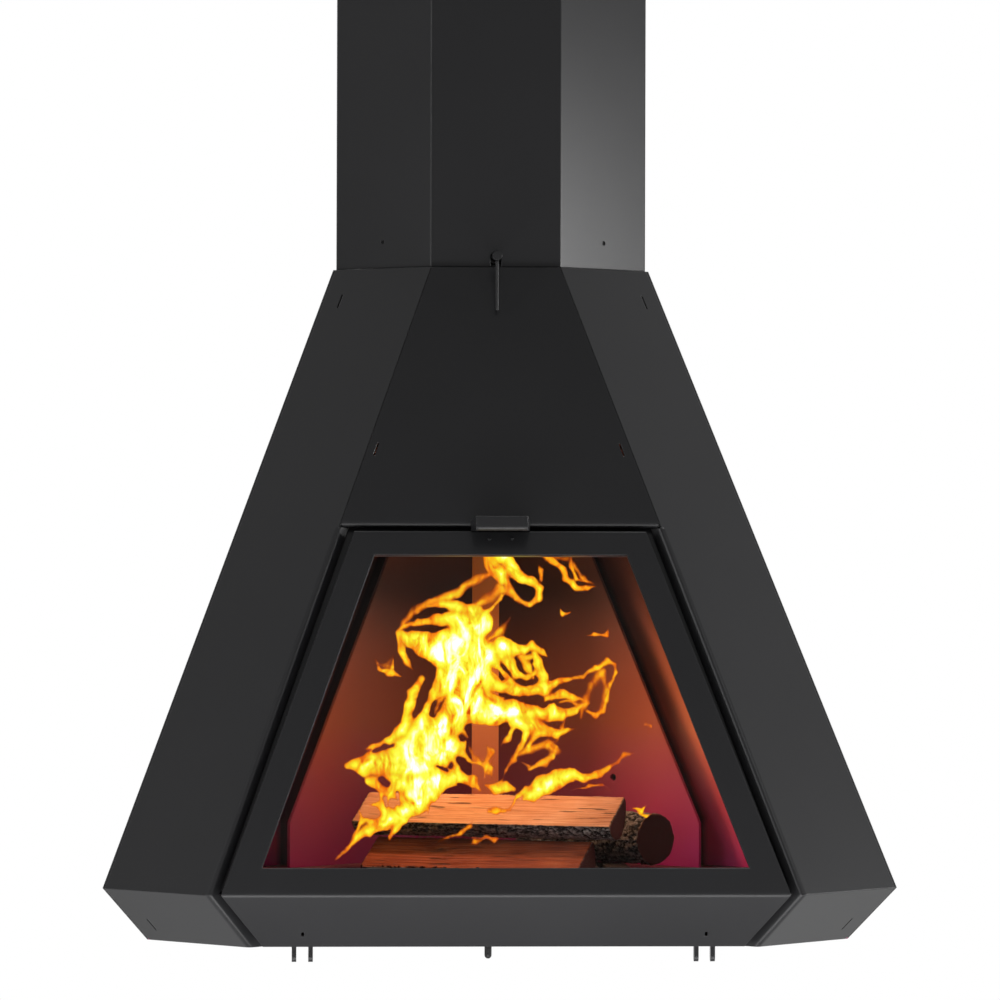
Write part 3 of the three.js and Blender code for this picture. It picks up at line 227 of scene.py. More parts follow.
def by_height(tree, place, stops):
    """A plate's colour by height, patchily: each stop is a share of the way from the floor to the baffle."""
    height = add(tree, "SeparateXYZ", {}, {0: place}).outputs["Z"]
    patches = {"Scale": repeats(HEAT_PATCH), "Detail": 4, "Roughness": 0.6}
    cloud = add(tree, "TexNoise", patches, {"Vector": place}).outputs["Fac"]
    drift = add(tree, "MapRange", {"To Min": -0.02, "To Max": 0.02}, {"Value": cloud})
    height = add(tree, "Math", {"operation": "ADD"}, {0: height, 1: drift.outputs[0]})
    share = add(tree, "MapRange", {"From Min": LOW_HEAT, "From Max": HIGH_HEAT}, {"Value": height.outputs[0]})
    return add(tree, "ValToRGB", {"stops": stops}, {"Fac": share.outputs[0]}).outputs[0]


def steel_plate(name, stops, shade_stops=None):
    """Scaled plate coloured by height, with painted shade from side to side where that is given."""
    material, tree, surface, place = new_material(name)
    colour = by_height(tree, place, stops)
    # painted shade: the plate's colour is darkened from side to side
    if shade_stops:
        across = add(tree, "SeparateXYZ", {}, {0: place}).outputs["X"]
        across = add(tree, "MapRange", {"From Min": -SHADED_HALF, "From Max": SHADED_HALF}, {"Value": across})
        painted_shade = add(tree, "ValToRGB", {"stops": shade_stops}, {"Fac": across.outputs[0]}).outputs[0]
        multiply = {"data_type": "RGBA", "blend_type": "MULTIPLY", 0: 1}
        colour = add(tree, "Mix", multiply, {6: colour, 7: painted_shade}).outputs[2]
    scale = add(tree, "TexNoise", {"Scale": repeats(MILL_SCALE), "Detail": 4}, {"Vector": place})
    scale = scale.outputs["Fac"]
    bump = add(tree, "Bump", {"Strength": 0.2, "Distance": 0.0004}, {"Height": scale})
    rough = add(tree, "MapRange", {"To Min": 0.5, "To Max": 0.75}, {"Value": scale})
    tree.links.new(colour, surface.inputs["Base Color"])
    tree.links.new(rough.outputs[0], surface.inputs["Roughness"])
    tree.links.new(bump.outputs[0], surface.inputs["Normal"])
    surface.inputs["Metallic"].default_value = 0.1
    return material


# to the eye: dull plates that glow from raspberry below to rust and cocoa above, darkest behind the flames;
# that glow is the fire's light painted into the heat tint
TINT_AND_GLOW = [
    (0, "#cb2e99"), (0.14, "#cb477e"), (0.32, "#b45e45"),
    (0.6, "#6e3e2e"), (0.72, "#9c543c"), (0.85, "#985040"),
]
# painted shade across the liners from side to side: darkest near the middle, none towards the right
SIDE_SHADE = [
    (0.02, "#c8c4b6"), (0.1, "#c0bcb0"), (0.2, "#a0a0a0"), (0.5, "#969696"),
    (0.73, "#ababab"), (0.8, "#dadada"), (0.88, "#ffffff"),
]
finish_with(steel_plate("heat_browned_fire_lit_steel_plate", TINT_AND_GLOW, SIDE_SHADE), CHAMBER)

# to the eye: a dull wine-red plate under the grate
FLOOR_HEAT = [(0, "#5c2632"), (1, "#6a3440")]
finish_with(steel_plate("sooted_steel_plate", FLOOR_HEAT), ["firebox_floor"])

# to the eye: a lighter, orange strip up the middle of the chamber: heat tint with the fire's glow painted in
STRIP_TINT_AND_GLOW = [(0, "#e07060"), (0.3, "#fc9a60"), (0.6, "#fa8a34"), (0.85, "#9c5828")]
finish_with(steel_plate("heat_tinted_fire_lit_steel_strip", STRIP_TINT_AND_GLOW), ["rear_liner_strip"])

# to the eye: the body's charcoal paint outside, and bright rust-red heat tint behind the liners' front edges
# inside, with the fire's glow painted in
FAR_TINT_AND_GLOW = [(0, "#ee4c98"), (0.14, "#f66e8c"), (0.3, "#f89874"), (0.6, "#8c5040"), (0.85, "#4a2c24")]
EDGE_SHADOW = "#120c0a"
CHAMBER_HALF = 0.4  # half width of what the fire has browned, down at height 0
NARROWING = 0.42  # what that half loses for each metre up
FIRE_SIDE = -0.5  # a face is on the fire's side where its normal's Y is below this
LINER_EDGE = 0.243  # half width between the liners' front edges, where they rise straight
BEND_HEIGHT = 0.13  # where those edges start to lean in
EDGE_LEAN = 0.386  # how far for each metre up
EDGE_SHADOW_STRIP = (0.003, 0.01)  # painted shadow beyond those edges: full as far as the first, gone at the second
lined_panel, tree, surface, place = new_material("stove_paint_browned_fire_lit_inside")
paint_tone = painted(tree, surface, place)
facing = add(tree, "SeparateXYZ", {}, {0: place.node.outputs["Normal"]}).outputs["Y"]
spot = add(tree, "SeparateXYZ", {}, {0: place}).outputs
aside = add(tree, "Math", {"operation": "ABSOLUTE"}, {0: spot["X"]}).outputs[0]
widened = add(tree, "Math", {"operation": "MULTIPLY_ADD", 1: NARROWING}, {0: spot["Z"], 2: aside}).outputs[0]
within = add(tree, "Math", {"operation": "LESS_THAN", 1: CHAMBER_HALF}, {0: widened}).outputs[0]
inward = add(tree, "Math", {"operation": "LESS_THAN", 1: FIRE_SIDE}, {0: facing}).outputs[0]
inner = add(tree, "Math", {"operation": "MULTIPLY"}, {0: inward, 1: within}).outputs[0]
# painted shadow: a dark strip beside each liner's front edge, where the liner shades the panel; the edge
# rises straight and then leans in
above = add(tree, "Math", {"operation": "SUBTRACT", 1: BEND_HEIGHT}, {0: spot["Z"]}).outputs[0]
above = add(tree, "Math", {"operation": "MAXIMUM", 1: 0}, {0: above}).outputs[0]
beside = add(tree, "Math", {"operation": "MULTIPLY_ADD", 1: EDGE_LEAN}, {0: above, 2: aside}).outputs[0]
thick, gone = (LINER_EDGE + beyond for beyond in EDGE_SHADOW_STRIP)
strip = {"From Min": thick, "From Max": gone, "To Min": 0.88, "To Max": 0}
edge_shadowed = add(tree, "MapRange", strip, {"Value": beside}).outputs[0]
# the inner faces' heat tint with the fire's glow painted in, under the painted shadow strip
tinted_and_lit = by_height(tree, place, FAR_TINT_AND_GLOW)
tinted_and_lit = add(tree, "Mix", {"data_type": "RGBA", 7: linear(EDGE_SHADOW)}, {0: edge_shadowed, 6: tinted_and_lit}).outputs[2]
tone = add(tree, "Mix", {"data_type": "RGBA"}, {0: inner, 6: paint_tone, 7: tinted_and_lit})
tree.links.new(tone.outputs[2], surface.inputs["Base Color"])
finish_with(lined_panel, LINED)

# ---------------------------------------------------------------- grate
# The grate is cast in sand from grey iron and lies loose on the floor, over the ash pan. It is dark and
# pitted, with ash dust in its pits.

# to the eye: blackish brown iron with paler, dusty patches
IRON = [(0.35, "#26211f"), (0.6, "#3a322d"), (0.75, "#6a625b")]
SAND_PIT = 2.38
ASH_PATCH = 33.3
cast_iron, tree, surface, place = new_material("sand_cast_iron")
pits = add(tree, "TexVoronoi", {"Scale": repeats(SAND_PIT)}, {"Vector": place})
dust = add(tree, "TexNoise", {"Scale": repeats(ASH_PATCH), "Detail": 5}, {"Vector": place})
tone = add(tree, "ValToRGB", {"stops": IRON}, {"Fac": dust.outputs["Fac"]})
bump = add(tree, "Bump", {"Strength": 0.5, "Distance": 0.0006}, {"Height": pits.outputs["Distance"]})
tree.links.new(tone.outputs[0], surface.inputs["Base Color"])
tree.links.new(bump.outputs[0], surface.inputs["Normal"])
surface.inputs["Roughness"].default_value = 0.75
surface.inputs["Metallic"].default_value = 0.3
finish_with(cast_iron, ["fire_grate"])

# ---------------------------------------------------------------- bare steel parts
# Brackets, guides, pipe, ash pan and glass retainer are cut and bent from rolled sheet, and the spacers,
# the pins, the shaft and its rear bush are turned from bar, all left bare.

BARE = """ash_pan right_liner_spacer_1 left_liner_spacer_1 right_liner_spacer_2 left_liner_spacer_2
right_baffle_support left_baffle_support flue_pipe right_casing_bracket left_casing_bracket
rear_damper_bush damper_shaft glass_retainer right_hinge_pin left_hinge_pin air_slide right_air_guide
left_air_guide""".split()
# to the eye: blue-grey metal with faint lines from the rolls, a millimetre apart
STEEL = [(0.35, "#6f7276"), (0.65, "#8d8f91")]
ROLL_LINE = (33.3, 33.3, 1.11)  # how long the lines are, both ways, and how far apart
CLOUDING = 71.4
rolled_steel, tree, surface, place = new_material("rolled_steel")
lines = add(tree, "Mapping", {"Scale": [repeats(size) for size in ROLL_LINE]}, {"Vector": place})
rolling = add(tree, "TexNoise", {"Scale": 1, "Detail": 3}, {"Vector": lines.outputs[0]}).outputs["Fac"]
cloud = add(tree, "TexNoise", {"Scale": repeats(CLOUDING), "Detail": 3}, {"Vector": place})
tone = add(tree, "ValToRGB", {"stops": STEEL}, {"Fac": cloud.outputs["Fac"]})
rough = add(tree, "MapRange", {"To Min": 0.3, "To Max": 0.5}, {"Value": rolling})
bump = add(tree, "Bump", {"Strength": 0.1, "Distance": 0.0001}, {"Height": rolling})
tree.links.new(tone.outputs[0], surface.inputs["Base Color"])
tree.links.new(rough.outputs[0], surface.inputs["Roughness"])
tree.links.new(bump.outputs[0], surface.inputs["Normal"])
surface.inputs["Metallic"].default_value = 1
finish_with(rolled_steel, BARE)

# ---------------------------------------------------------------- rope and tape
# The door's rope and the glass tape are woven from black ceramic yarn. The rope is glued to the leaf's rear,
# the tape lies between leaf and glass, and both are squashed to a tight seal.

YARN = 1.43  # width of a yarn
# to the eye: soft black bands with a small diagonal weave and no shine
CERAMIC = [(0.1, "#1a1a19"), (0.6, "#3c3b38")]
ceramic_rope, tree, surface, place = new_material("woven_ceramic_yarn")
weave = {"Scale": repeats(2 * YARN), "bands_direction": "DIAGONAL", "Distortion": 1}
warp = add(tree, "TexWave", weave, {"Vector": place})
fibre = add(tree, "TexNoise", {"Scale": repeats(YARN / 2), "Detail": 3}, {"Vector": place})
woven = add(tree, "Math", {"operation": "MULTIPLY"}, {0: warp.outputs["Fac"], 1: fibre.outputs["Fac"]})
woven = woven.outputs[0]
tone = add(tree, "ValToRGB", {"stops": CERAMIC}, {"Fac": woven})
bump = add(tree, "Bump", {"Strength": 0.6, "Distance": 0.0006}, {"Height": woven})
tree.links.new(tone.outputs[0], surface.inputs["Base Color"])
tree.links.new(bump.outputs[0], surface.inputs["Normal"])
surface.inputs["Roughness"].default_value = 0.95
finish_with(ceramic_rope, ["glass_tape", "door_rope"])

# ---------------------------------------------------------------- glass
# The window is one pane of glass-ceramic, float-formed and held behind the leaf by its retainer. A very
# thin film of soot lies on it.

# to the eye: clear and colourless, with a slight brown haze in broad patches
HAZE = 111
film_range = {"From Min": 0.45, "From Max": 0.8, "To Min": 0.03, "To Max": 0.07}
fire_glass, tree, surface, place = new_material("clear_glass_ceramic")
haze = add(tree, "TexNoise", {"Scale": repeats(HAZE), "Detail": 5}, {"Vector": place})
film = add(tree, "MapRange", film_range, {"Value": haze.outputs["Fac"]})
tree.links.new(film.outputs[0], surface.inputs["Alpha"])
surface.inputs["Base Color"].default_value = linear("#2a2320")
surface.inputs["Roughness"].default_value = 0.05
finish_with(fire_glass, ["door_glass"])

# ---------------------------------------------------------------- logs
# Three lengths of firewood lie loose on the grate: a half log on top with its split face up, a log with two
# split faces under it, and a round one on the right. Splitting tears the fibres, and the bark is furrowed.

LOG_TURN = math.radians(-22)
ROUND_TURN = math.radians(-50)
FACE_SLOPE = math.radians(27)
UP_FACE = (-math.sin(FACE_SLOPE), math.cos(FACE_SLOPE))
LOGS = {  # each log's heart, its turn, and the way its split faces look in its own section
    "front_log": ((-0.038, -0.432, 0.0816), LOG_TURN, [UP_FACE, (0, -1)]),
    "top_log": ((-0.0116, -0.3748, 0.1473), LOG_TURN, [UP_FACE]),
    "round_log": ((0.182, -0.368, 0.1119), ROUND_TURN, []),
}
KNOTTED = "front_log"
KNOT = (-0.046, 0.038)  # along that log and across its split face
KNOT_SIZE = (0.008, 0.004)
VOXEL = 0.0016
BARK_DEPTH = 0.0028
TORN_DEPTH = 0.0009
SAWN_DEPTH = 0.0004
# how often a relief comes in a metre, along the log, across it and up
CRACKS = (70, 150, 150)
CRACK_SHARPNESS = 4.5
LUMPS = (55, 90, 90)
LUMP_SHARE = 0.4  # of the bark's depth
FIBRES = (9, 300, 300)
SAW_MARKS = (400, 150, 150)
END_FACING = (0.7, 0.95)  # how squarely a face looks along the log before it counts as the sawn end
TORN_FACING = (0.8, 0.97)  # the same for a split face


def fade(value, low, high):
    """Rises smoothly from 0 at low to 1 at high."""
    share = np.clip((value - low) / (high - low), 0, 1)
    return share * share * (3 - 2 * share)


def noise_at(points, scale, octaves=4):
    """Fractal noise at many points, each stretched by its own scale along X, Y and Z."""
    spots = points * np.array(scale)
    return np.array([noise.fractal(Vector(spot), 0.9, 2.1, octaves) for spot in spots])


def remeshed_copy(source, name):
    """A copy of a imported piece's mesh, merged and made of small even faces."""
    log = bpy.data.objects.new(name, source.data.copy())
    bpy.context.scene.collection.objects.link(log)
    bpy.ops.object.select_all(action="DESELECT")
    log.select_set(True)
    bpy.context.view_layer.objects.active = log
    bpy.ops.object.mode_set(mode="EDIT")
    bpy.ops.mesh.select_all(action="SELECT")
    bpy.ops.mesh.remove_doubles(threshold=1e-5)
    bpy.ops.mesh.dissolve_limited(angle_limit=0.01)
    bpy.ops.object.mode_set(mode="OBJECT")
    remesh = log.modifiers.new("remesh", "REMESH")
    remesh.mode = "VOXEL"
    remesh.voxel_size = VOXEL
    bpy.ops.object.modifier_apply(modifier="remesh")
    return log


def split_log(name, heart, turn, split_faces):
    """A log with furrowed bark, torn split faces and sawn ends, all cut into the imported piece's outline."""
    log = remeshed_copy(NODES[name], "burning_" + name)
    mesh = log.data
    points = np.zeros(len(mesh.vertices) * 3)
    normals = np.zeros(len(mesh.vertices) * 3)
    mesh.vertices.foreach_get("co", points)
    mesh.vertices.foreach_get("normal", normals)
    points, normals = points.reshape(-1, 3), normals.reshape(-1, 3)
    along = np.array([math.cos(turn), math.sin(turn), 0])
    across = np.array([-math.sin(turn), math.cos(turn), 0])
    up = np.array([0, 0, 1])
    local = points - np.array(heart)
    local = np.stack([local @ along, local @ across, local @ up], 1)
    facing = np.stack([normals @ along, normals @ across, normals @ up], 1)
    end = fade(np.abs(facing[:, 0]), *END_FACING)
    torn = np.zeros(len(points))
    for y, z in split_faces:
        torn = np.maximum(torn, fade(facing[:, 1] * y + facing[:, 2] * z, *TORN_FACING))
    bark = (1 - end) * (1 - torn)
    cracks = np.clip(1 - np.abs(noise_at(local, CRACKS)) * CRACK_SHARPNESS, 0, 1)
    lumps = noise_at(local + 3, LUMPS, 3)
    fibres = noise_at(local, FIBRES, 3)
    saw = noise_at(local, SAW_MARKS, 3)
    depth = bark * BARK_DEPTH * (cracks + LUMP_SHARE * np.clip(0.5 - lumps, 0, 1))
    depth += torn * TORN_DEPTH * np.clip(0.5 - fibres, 0, 1.2) + end * SAWN_DEPTH * np.clip(0.5 + saw, 0, 1)
    points = points - normals * depth[:, None]
    mesh.vertices.foreach_set("co", points.ravel())
    knot = np.zeros(len(points))
    if name == KNOTTED:
        knot = np.hypot((local[:, 0] - KNOT[0]) / KNOT_SIZE[0], (local[:, 1] - KNOT[1]) / KNOT_SIZE[1])
        knot = np.exp(-knot)
    ring = np.hypot(local[:, 1], local[:, 2]) * 1000
    for label, values in (("bark", bark), ("crack", cracks), ("ring", ring), ("end", end), ("knot", knot)):
        mesh.attributes.new(label, "FLOAT", "POINT").data.foreach_set("value", values.astype(np.float32))
    grain = mesh.attributes.new("grain", "FLOAT_VECTOR", "POINT")
    grain.data.foreach_set("vector", local.astype(np.float32).ravel())
    mesh.update()
    for polygon in mesh.polygons:
        polygon.use_smooth = True
    return log


# to the eye: salmon-pink dry wood with dark hairline splits above, darker red-brown below as painted shade,
# cocoa ends with faint year rings, and grey furrowed bark
WOOD = [(0.5, "#9c5a3c"), (0.68, "#cc8a62"), (0.85, "#dfa27c"), (1, "#ecbd9a")]
SHADED_WOOD = [(0.45, "#38120b"), (0.62, "#6e2c18"), (0.8, "#944626"), (1, "#b0643e")]
SPLIT_DARK = "#2e150e"
SAWN = [(0, "#4a241c"), (1, "#7a463a")]
BARK = [(0.35, "#9a928c"), (0.55, "#6c6460"), (0.8, "#35302d"), (1, "#151110")]
SHADE_LINE = (0.112, 0.118)  # heights between which the painted shade on the lower wood gives way to its unshaded colour
KNOT_BULGE = 0.012  # how far a knot pushes the fibres aside
RING_TURNS = 2.6  # radians for each millimetre from the heart: year rings 2.4 mm apart
THREAD = (62.5, 2.38, 2.38)  # a torn fibre's length and width
HAIRLINE = (38.5, 3.85, 3.85)  # the same for a drying split
BROAD_TONE = 62.5
FLAKE = 3.33  # of bark
firewood, tree, surface, place = new_material("split_firewood")
bark, crack, ring, end, knot = (
    add(tree, "Attribute", {"attribute_name": label}).outputs["Fac"]
    for label in ("bark", "crack", "ring", "end", "knot")
)
grain = add(tree, "Attribute", {"attribute_name": "grain"}).outputs["Vector"]
bulge = add(tree, "CombineXYZ", {}, {"Y": knot}).outputs[0]
bulge = add(tree, "VectorMath", {"operation": "SCALE", "Scale": KNOT_BULGE}, {0: bulge}).outputs[0]
flow = add(tree, "VectorMath", {"operation": "ADD"}, {0: grain, 1: bulge}).outputs[0]
stretched = {"Scale": [repeats(size) for size in THREAD]}
drawn = add(tree, "Mapping", stretched, {"Vector": flow}).outputs[0]
threads = add(tree, "TexNoise", {"Scale": 1, "Detail": 5, "Roughness": 0.65}, {"Vector": drawn})
threads = threads.outputs["Fac"]
stretched = {"Scale": [repeats(size) for size in HAIRLINE], "Location": (7, 3, 0)}
drawn = add(tree, "Mapping", stretched, {"Vector": flow}).outputs[0]
splits = add(tree, "TexNoise", {"Scale": 1, "Detail": 2}, {"Vector": drawn}).outputs["Fac"]
broad = add(tree, "TexNoise", {"Scale": repeats(BROAD_TONE), "Detail": 3}, {"Vector": grain}).outputs["Fac"]
shade = add(tree, "Math", {"operation": "MULTIPLY_ADD", 1: 0.5}, {0: broad, 2: threads}).outputs[0]
unshaded_wood = add(tree, "ValToRGB", {"stops": WOOD}, {"Fac": shade}).outputs[0]
# painted shade: low on the logs the wood takes this darker, redder ramp
shaded_wood = add(tree, "ValToRGB", {"stops": SHADED_WOOD}, {"Fac": shade}).outputs[0]
height = add(tree, "SeparateXYZ", {}, {0: place}).outputs["Z"]
above = {"From Min": SHADE_LINE[0], "From Max": SHADE_LINE[1]}
above = add(tree, "MapRange", above, {"Value": height}).outputs[0]
wood = add(tree, "Mix", {"data_type": "RGBA"}, {0: above, 6: shaded_wood, 7: unshaded_wood}).outputs[2]
fissure = {"From Min": 0.3, "From Max": 0.37, "To Min": 0.75, "To Max": 0}
fissure = add(tree, "MapRange", fissure, {"Value": splits}).outputs[0]
fissure = add(tree, "Math", either, {0: fissure, 1: knot}).outputs[0]
wood = add(tree, "Mix", {"data_type": "RGBA", 7: linear(SPLIT_DARK)}, {0: fissure, 6: wood}).outputs[2]
years = add(tree, "Math", {"operation": "MULTIPLY", 1: RING_TURNS}, {0: ring}).outputs[0]
years = add(tree, "Math", {"operation": "SINE"}, {0: years}).outputs[0]
years = add(tree, "MapRange", {"From Min": -1, "To Min": 0.3, "To Max": 0.7}, {"Value": years}).outputs[0]
ends = add(tree, "ValToRGB", {"stops": SAWN}, {"Fac": years}).outputs[0]
flakes = add(tree, "TexNoise", {"Scale": repeats(FLAKE), "Detail": 4}, {"Vector": place}).outputs["Fac"]
rind = add(tree, "Math", {"operation": "MULTIPLY_ADD", 1: 0.8}, {0: crack, 2: flakes}).outputs[0]
rind = add(tree, "ValToRGB", {"stops": BARK}, {"Fac": rind}).outputs[0]
face = add(tree, "Mix", {"data_type": "RGBA"}, {0: end, 6: wood, 7: ends}).outputs[2]
skin = add(tree, "Mix", {"data_type": "RGBA"}, {0: bark, 6: face, 7: rind}).outputs[2]
relief = add(tree, "Math", {"operation": "SUBTRACT"}, {0: threads, 1: fissure}).outputs[0]
bump = add(tree, "Bump", {"Strength": 0.5, "Distance": 0.0006}, {"Height": relief})
tree.links.new(skin, surface.inputs["Base Color"])
tree.links.new(bump.outputs[0], surface.inputs["Normal"])
surface.inputs["Roughness"].default_value = 0.85
surface.inputs["Specular IOR Level"].default_value = 0.25

for name, (heart, turn, split_faces) in LOGS.items():
    log = split_log(name, heart, turn, split_faces)
    log.data.materials.clear()
    log.data.materials.append(firewood)
    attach(log, "body")
    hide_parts(name)

# ---------------------------------------------------------------- flames
# Flames are glowing gas: white and yellow where it is thick and hot, orange and red at its thin, torn
# edges. They are one hollow, swelling curtain over the logs, drawn from the tapered strokes given below. A
# stroke is a row of points, each with X, Z and half width in millimetres.

BODY = (
    (
        (-188, 97, 1.8), (-176, 110, 2.5), (-165, 121, 3.8), (-150, 129, 5.5), (-132, 138, 8),
        (-114, 148, 9.6), (-94, 160, 11.1), (-79, 170, 7.6),
    ),
    (
        (-174, 201, 5), (-157, 200, 10.6), (-131, 207, 16.6), (-106, 207, 21.7), (-81, 215, 24.2),
        (-58, 222, 15.2),
    ),
    (
        (-149, 183, 6), (-124, 178, 14.1), (-101, 175, 18.1), (-76, 183, 14.1), (-53, 188, 9.1),
        (-33, 184, 6.1), (-26, 173, 2.5),
    ),
    (
        (-98, 212, 23.2), (-81, 235, 23.3), (-63, 257, 25.3), (-52, 277, 27.4), (-42, 297, 31.7),
        (-31, 317, 29.2), (-41, 330, 26.7), (-59, 330, 24.2), (-82, 335, 15.3), (-100, 342, 8.7),
        (-113, 347, 4.1),
    ),
    ((-116, 347, 2.3), (-112, 330, 4.6), (-106, 315, 3.6), (-99, 307, 1)),
    ((-117, 349, 0.8), (-110, 356, 2), (-92, 361, 4.1), (-71, 364, 5.6), (-51, 365, 8.7), (-36, 358, 15.3)),
    ((-36, 348, 20.4), (-20, 360, 12.7), (-28, 373, 8.7), (-48, 379, 6.6), (-68, 382, 3.8), (-85, 378, 1)),
    (
        (-110, 361, 0.5), (-94, 373, 1.3), (-79, 385, 2), (-56, 390, 3.1), (-40, 401, 3.1),
        (-25, 408, 2.6), (-5, 419, 2.3),
    ),
    (
        (-14, 439, 4.1), (-9, 426, 6.7), (2, 416, 7.7), (9, 403, 5.6), (1, 388, 2.3), (-15, 370, 3.1),
        (-20, 355, 5.1),
    ),
    (
        (-1, 441, 10.2), (9, 434, 7.2), (17, 421, 7.7), (25, 412, 6.1), (37, 408, 4.6), (46, 401, 4.3),
        (45, 388, 4.3), (34, 381, 3.1), (21, 388, 3.1), (12, 398, 3.6),
    ),
    ((46, 428, 0.8), (49, 421, 2.3), (49, 411, 2.6)),
    (
        (52, 438, 3.6), (63, 431, 4.1), (73, 423, 3.1), (78, 411, 3.3), (88, 402, 3.8), (101, 400, 2.8),
        (112, 402, 1.3),
    ),
    ((84, 439, 2.6), (84, 424, 2.3), (89, 412, 1.5), (101, 409, 1.3), (109, 407, 1)),
    ((5, 332, 14.8), (23, 329, 5.1), (37, 336, 3.8), (48, 330, 3.3), (54, 322, 1)),
    (
        (-6, 297, 15.2), (17, 285, 7.1), (34, 284, 5.6), (50, 287, 7.1), (49, 302, 5.6), (43, 317, 4.8),
        (39, 327, 3.1),
    ),
    ((10, 317, 7.6), (19, 302, 4.1), (31, 299, 2.3), (42, 305, 2.5)),
    (
        (50, 287, 6.1), (75, 297, 2.8), (93, 300, 2.5), (111, 310, 3.1), (122, 318, 3.1), (132, 314, 2.3),
        (133, 304, 2.3), (124, 291, 2.8), (120, 275, 2.5), (116, 262, 3), (107, 256, 3.8), (99, 261, 2),
    ),
    ((52, 275, 3), (70, 281, 4.6), (81, 277, 3.6), (99, 272, 1.8)),
    (
        (-32, 267, 22.3), (-7, 262, 16.7), (14, 262, 11.7), (34, 261, 9.1), (54, 261, 10.6),
        (69, 257, 6.1), (85, 262, 4.1), (100, 271, 1.3),
    ),
    ((19, 250, 8.6), (41, 242, 8.6), (61, 237, 5.1), (74, 239, 2.5), (87, 241, 0.8)),
    ((28, 237, 4.6), (21, 222, 3), (13, 207, 3), (5, 195, 1.5), (-2, 182, 0.5)),
    ((37, 235, 3.8), (32, 222, 2.5), (26, 214, 1.3)),
    ((15, 244, 2), (7, 230, 3), (-1, 222, 1.8)),
    ((-17, 224, 0.8), (-12, 215, 3.5), (-18, 201, 2.8), (-21, 186, 0.8)),
    ((-41, 230, 3.5), (-45, 215, 3), (-37, 207, 2), (-27, 203, 2), (-13, 198, 2.5), (-12, 186, 0.8)),
    ((-56, 215, 3.5), (-51, 198, 2.5), (-50, 181, 2)),
    ((-18, 178, 2.5), (-7, 174, 6.6), (5, 177, 6), (13, 174, 3)),
    ((-14, 151, 4.5), (-6, 151, 4.5), (7, 151, 1.8), (18, 167, 1.8), (27, 175, 4)),
    (
        (24, 163, 2), (33, 168, 7.6), (47, 178, 11.6), (63, 186, 10.1), (78, 190, 7.6), (93, 188, 5),
        (108, 191, 4), (121, 198, 3), (132, 205, 2.5), (140, 213, 3.3), (151, 214, 1),
    ),
    ((80, 172, 1), (98, 178, 1.8), (113, 179, 1.8), (124, 174, 0.8)),
    ((31, 196, 2.5), (47, 205, 4), (58, 209, 2.8), (62, 221, 2), (57, 227, 0.5)),
    ((63, 216, 1), (68, 215, 0.8)),
    ((22, 205, 0.8), (30, 200, 2)),
    (
        (-90, 297, 5.1), (-100, 282, 5.6), (-104, 267, 5.1), (-106, 252, 5.6), (-113, 240, 6.1),
        (-126, 227, 5.1), (-144, 222, 3.5), (-154, 218, 1.3),
    ),
    ((-162, 151, 1.5), (-159, 138, 2.5), (-165, 126, 1.5)),
    ((-152, 157, 1.5), (-139, 157, 3.3), (-133, 147, 3)),
    ((-157, 141, 2), (-143, 137, 3.8), (-132, 141, 4.5)),
    ((-134, 170, 5), (-132, 151, 4.5), (-129, 138, 4)),
    (
        (-107, 173, 7.6), (-103, 153, 7), (-112, 141, 4.5), (-120, 130, 3.3), (-127, 121, 1.8),
        (-129, 111, 0.8),
    ),
    ((-87, 160, 7), (-78, 168, 5.5), (-70, 174, 1.8)),
    ((-84, 153, 1.8), (-84, 145, 0.5)),
    ((-80, 113, 0.5), (-64, 121, 1.5), (-47, 126, 2.3), (-37, 133, 2.3), (-34, 144, 0.4)),
    ((-39, 112, 0.8), (-32, 116, 2), (-19, 122, 2), (-9, 118, 3.5), (-2, 122, 0.8)),
    ((-53, 146, 0.3), (-52, 138, 0.8)),
    ((-93, 121, 0.3), (-90, 111, 0.9), (-89, 108, 0.3)),
)
HOLE = (  # gaps torn in the body
    ((-77, 258, 3.3), (-73, 267, 3.3), (-66, 275, 2)),
    ((-85, 312, 1.3), (-92, 317, 2.3), (-96, 322, 1.5)),
    ((-137, 186, 2.3), (-129, 180, 2.5)),
    ((-43, 231, 2.5), (-35, 234, 2)),
    ((4, 401, 2), (5, 396, 1.3)),
    ((-43, 392, 2.3), (-30, 394, 1.8)),
    ((25, 317, 4.1), (34, 317, 4.6)),
    ((-7, 309, 1), (3, 297, 1.3)),
    ((83, 183, 0.8), (96, 181, 0.8)),
    ((-144, 216, 0.8), (-134, 221, 1.3), (-121, 222, 1)),
    ((-132, 165, 1), (-130, 156, 1)),
    ((-119, 170, 1), (-118, 158, 1.3)),
    ((-143, 151, 1), (-141, 146, 0.8)),
    ((-73, 200, 0.8), (-63, 195, 1)),
    ((29, 270, 1), (49, 269, 1.5), (62, 272, 0.8)),
    ((6, 275, 0.8), (19, 277, 0.8)),
    ((-50, 179, 1), (-43, 178, 1.3)),
)
SPARK = (  # scraps that have flown off
    ((68, 380, 0.4), (72, 370, 2), (82, 373, 1.3)),
    ((99, 346, 0.5), (110, 349, 1.5), (122, 346, 2), (125, 356, 0.6)),
    ((-142, 320, 0.6), (-139, 308, 1.5), (-126, 304, 3.8), (-112, 300, 0.8)),
    ((-122, 323, 0.4), (-124, 311, 2.3)),
    ((162, 247, 0.4), (173, 244, 1.8), (177, 258, 0.4)),
    ((176, 239, 0.6), (173, 221, 0.3)),
    ((108, 207, 0.6), (112, 206, 0.5)),
    ((147, 154, 0.8), (157, 150, 1.8), (164, 159, 0.5)),
    ((152, 147, 0.5), (163, 144, 1.3), (171, 148, 0.4)),
    ((57, 316, 0.5), (69, 314, 0.4)),
)
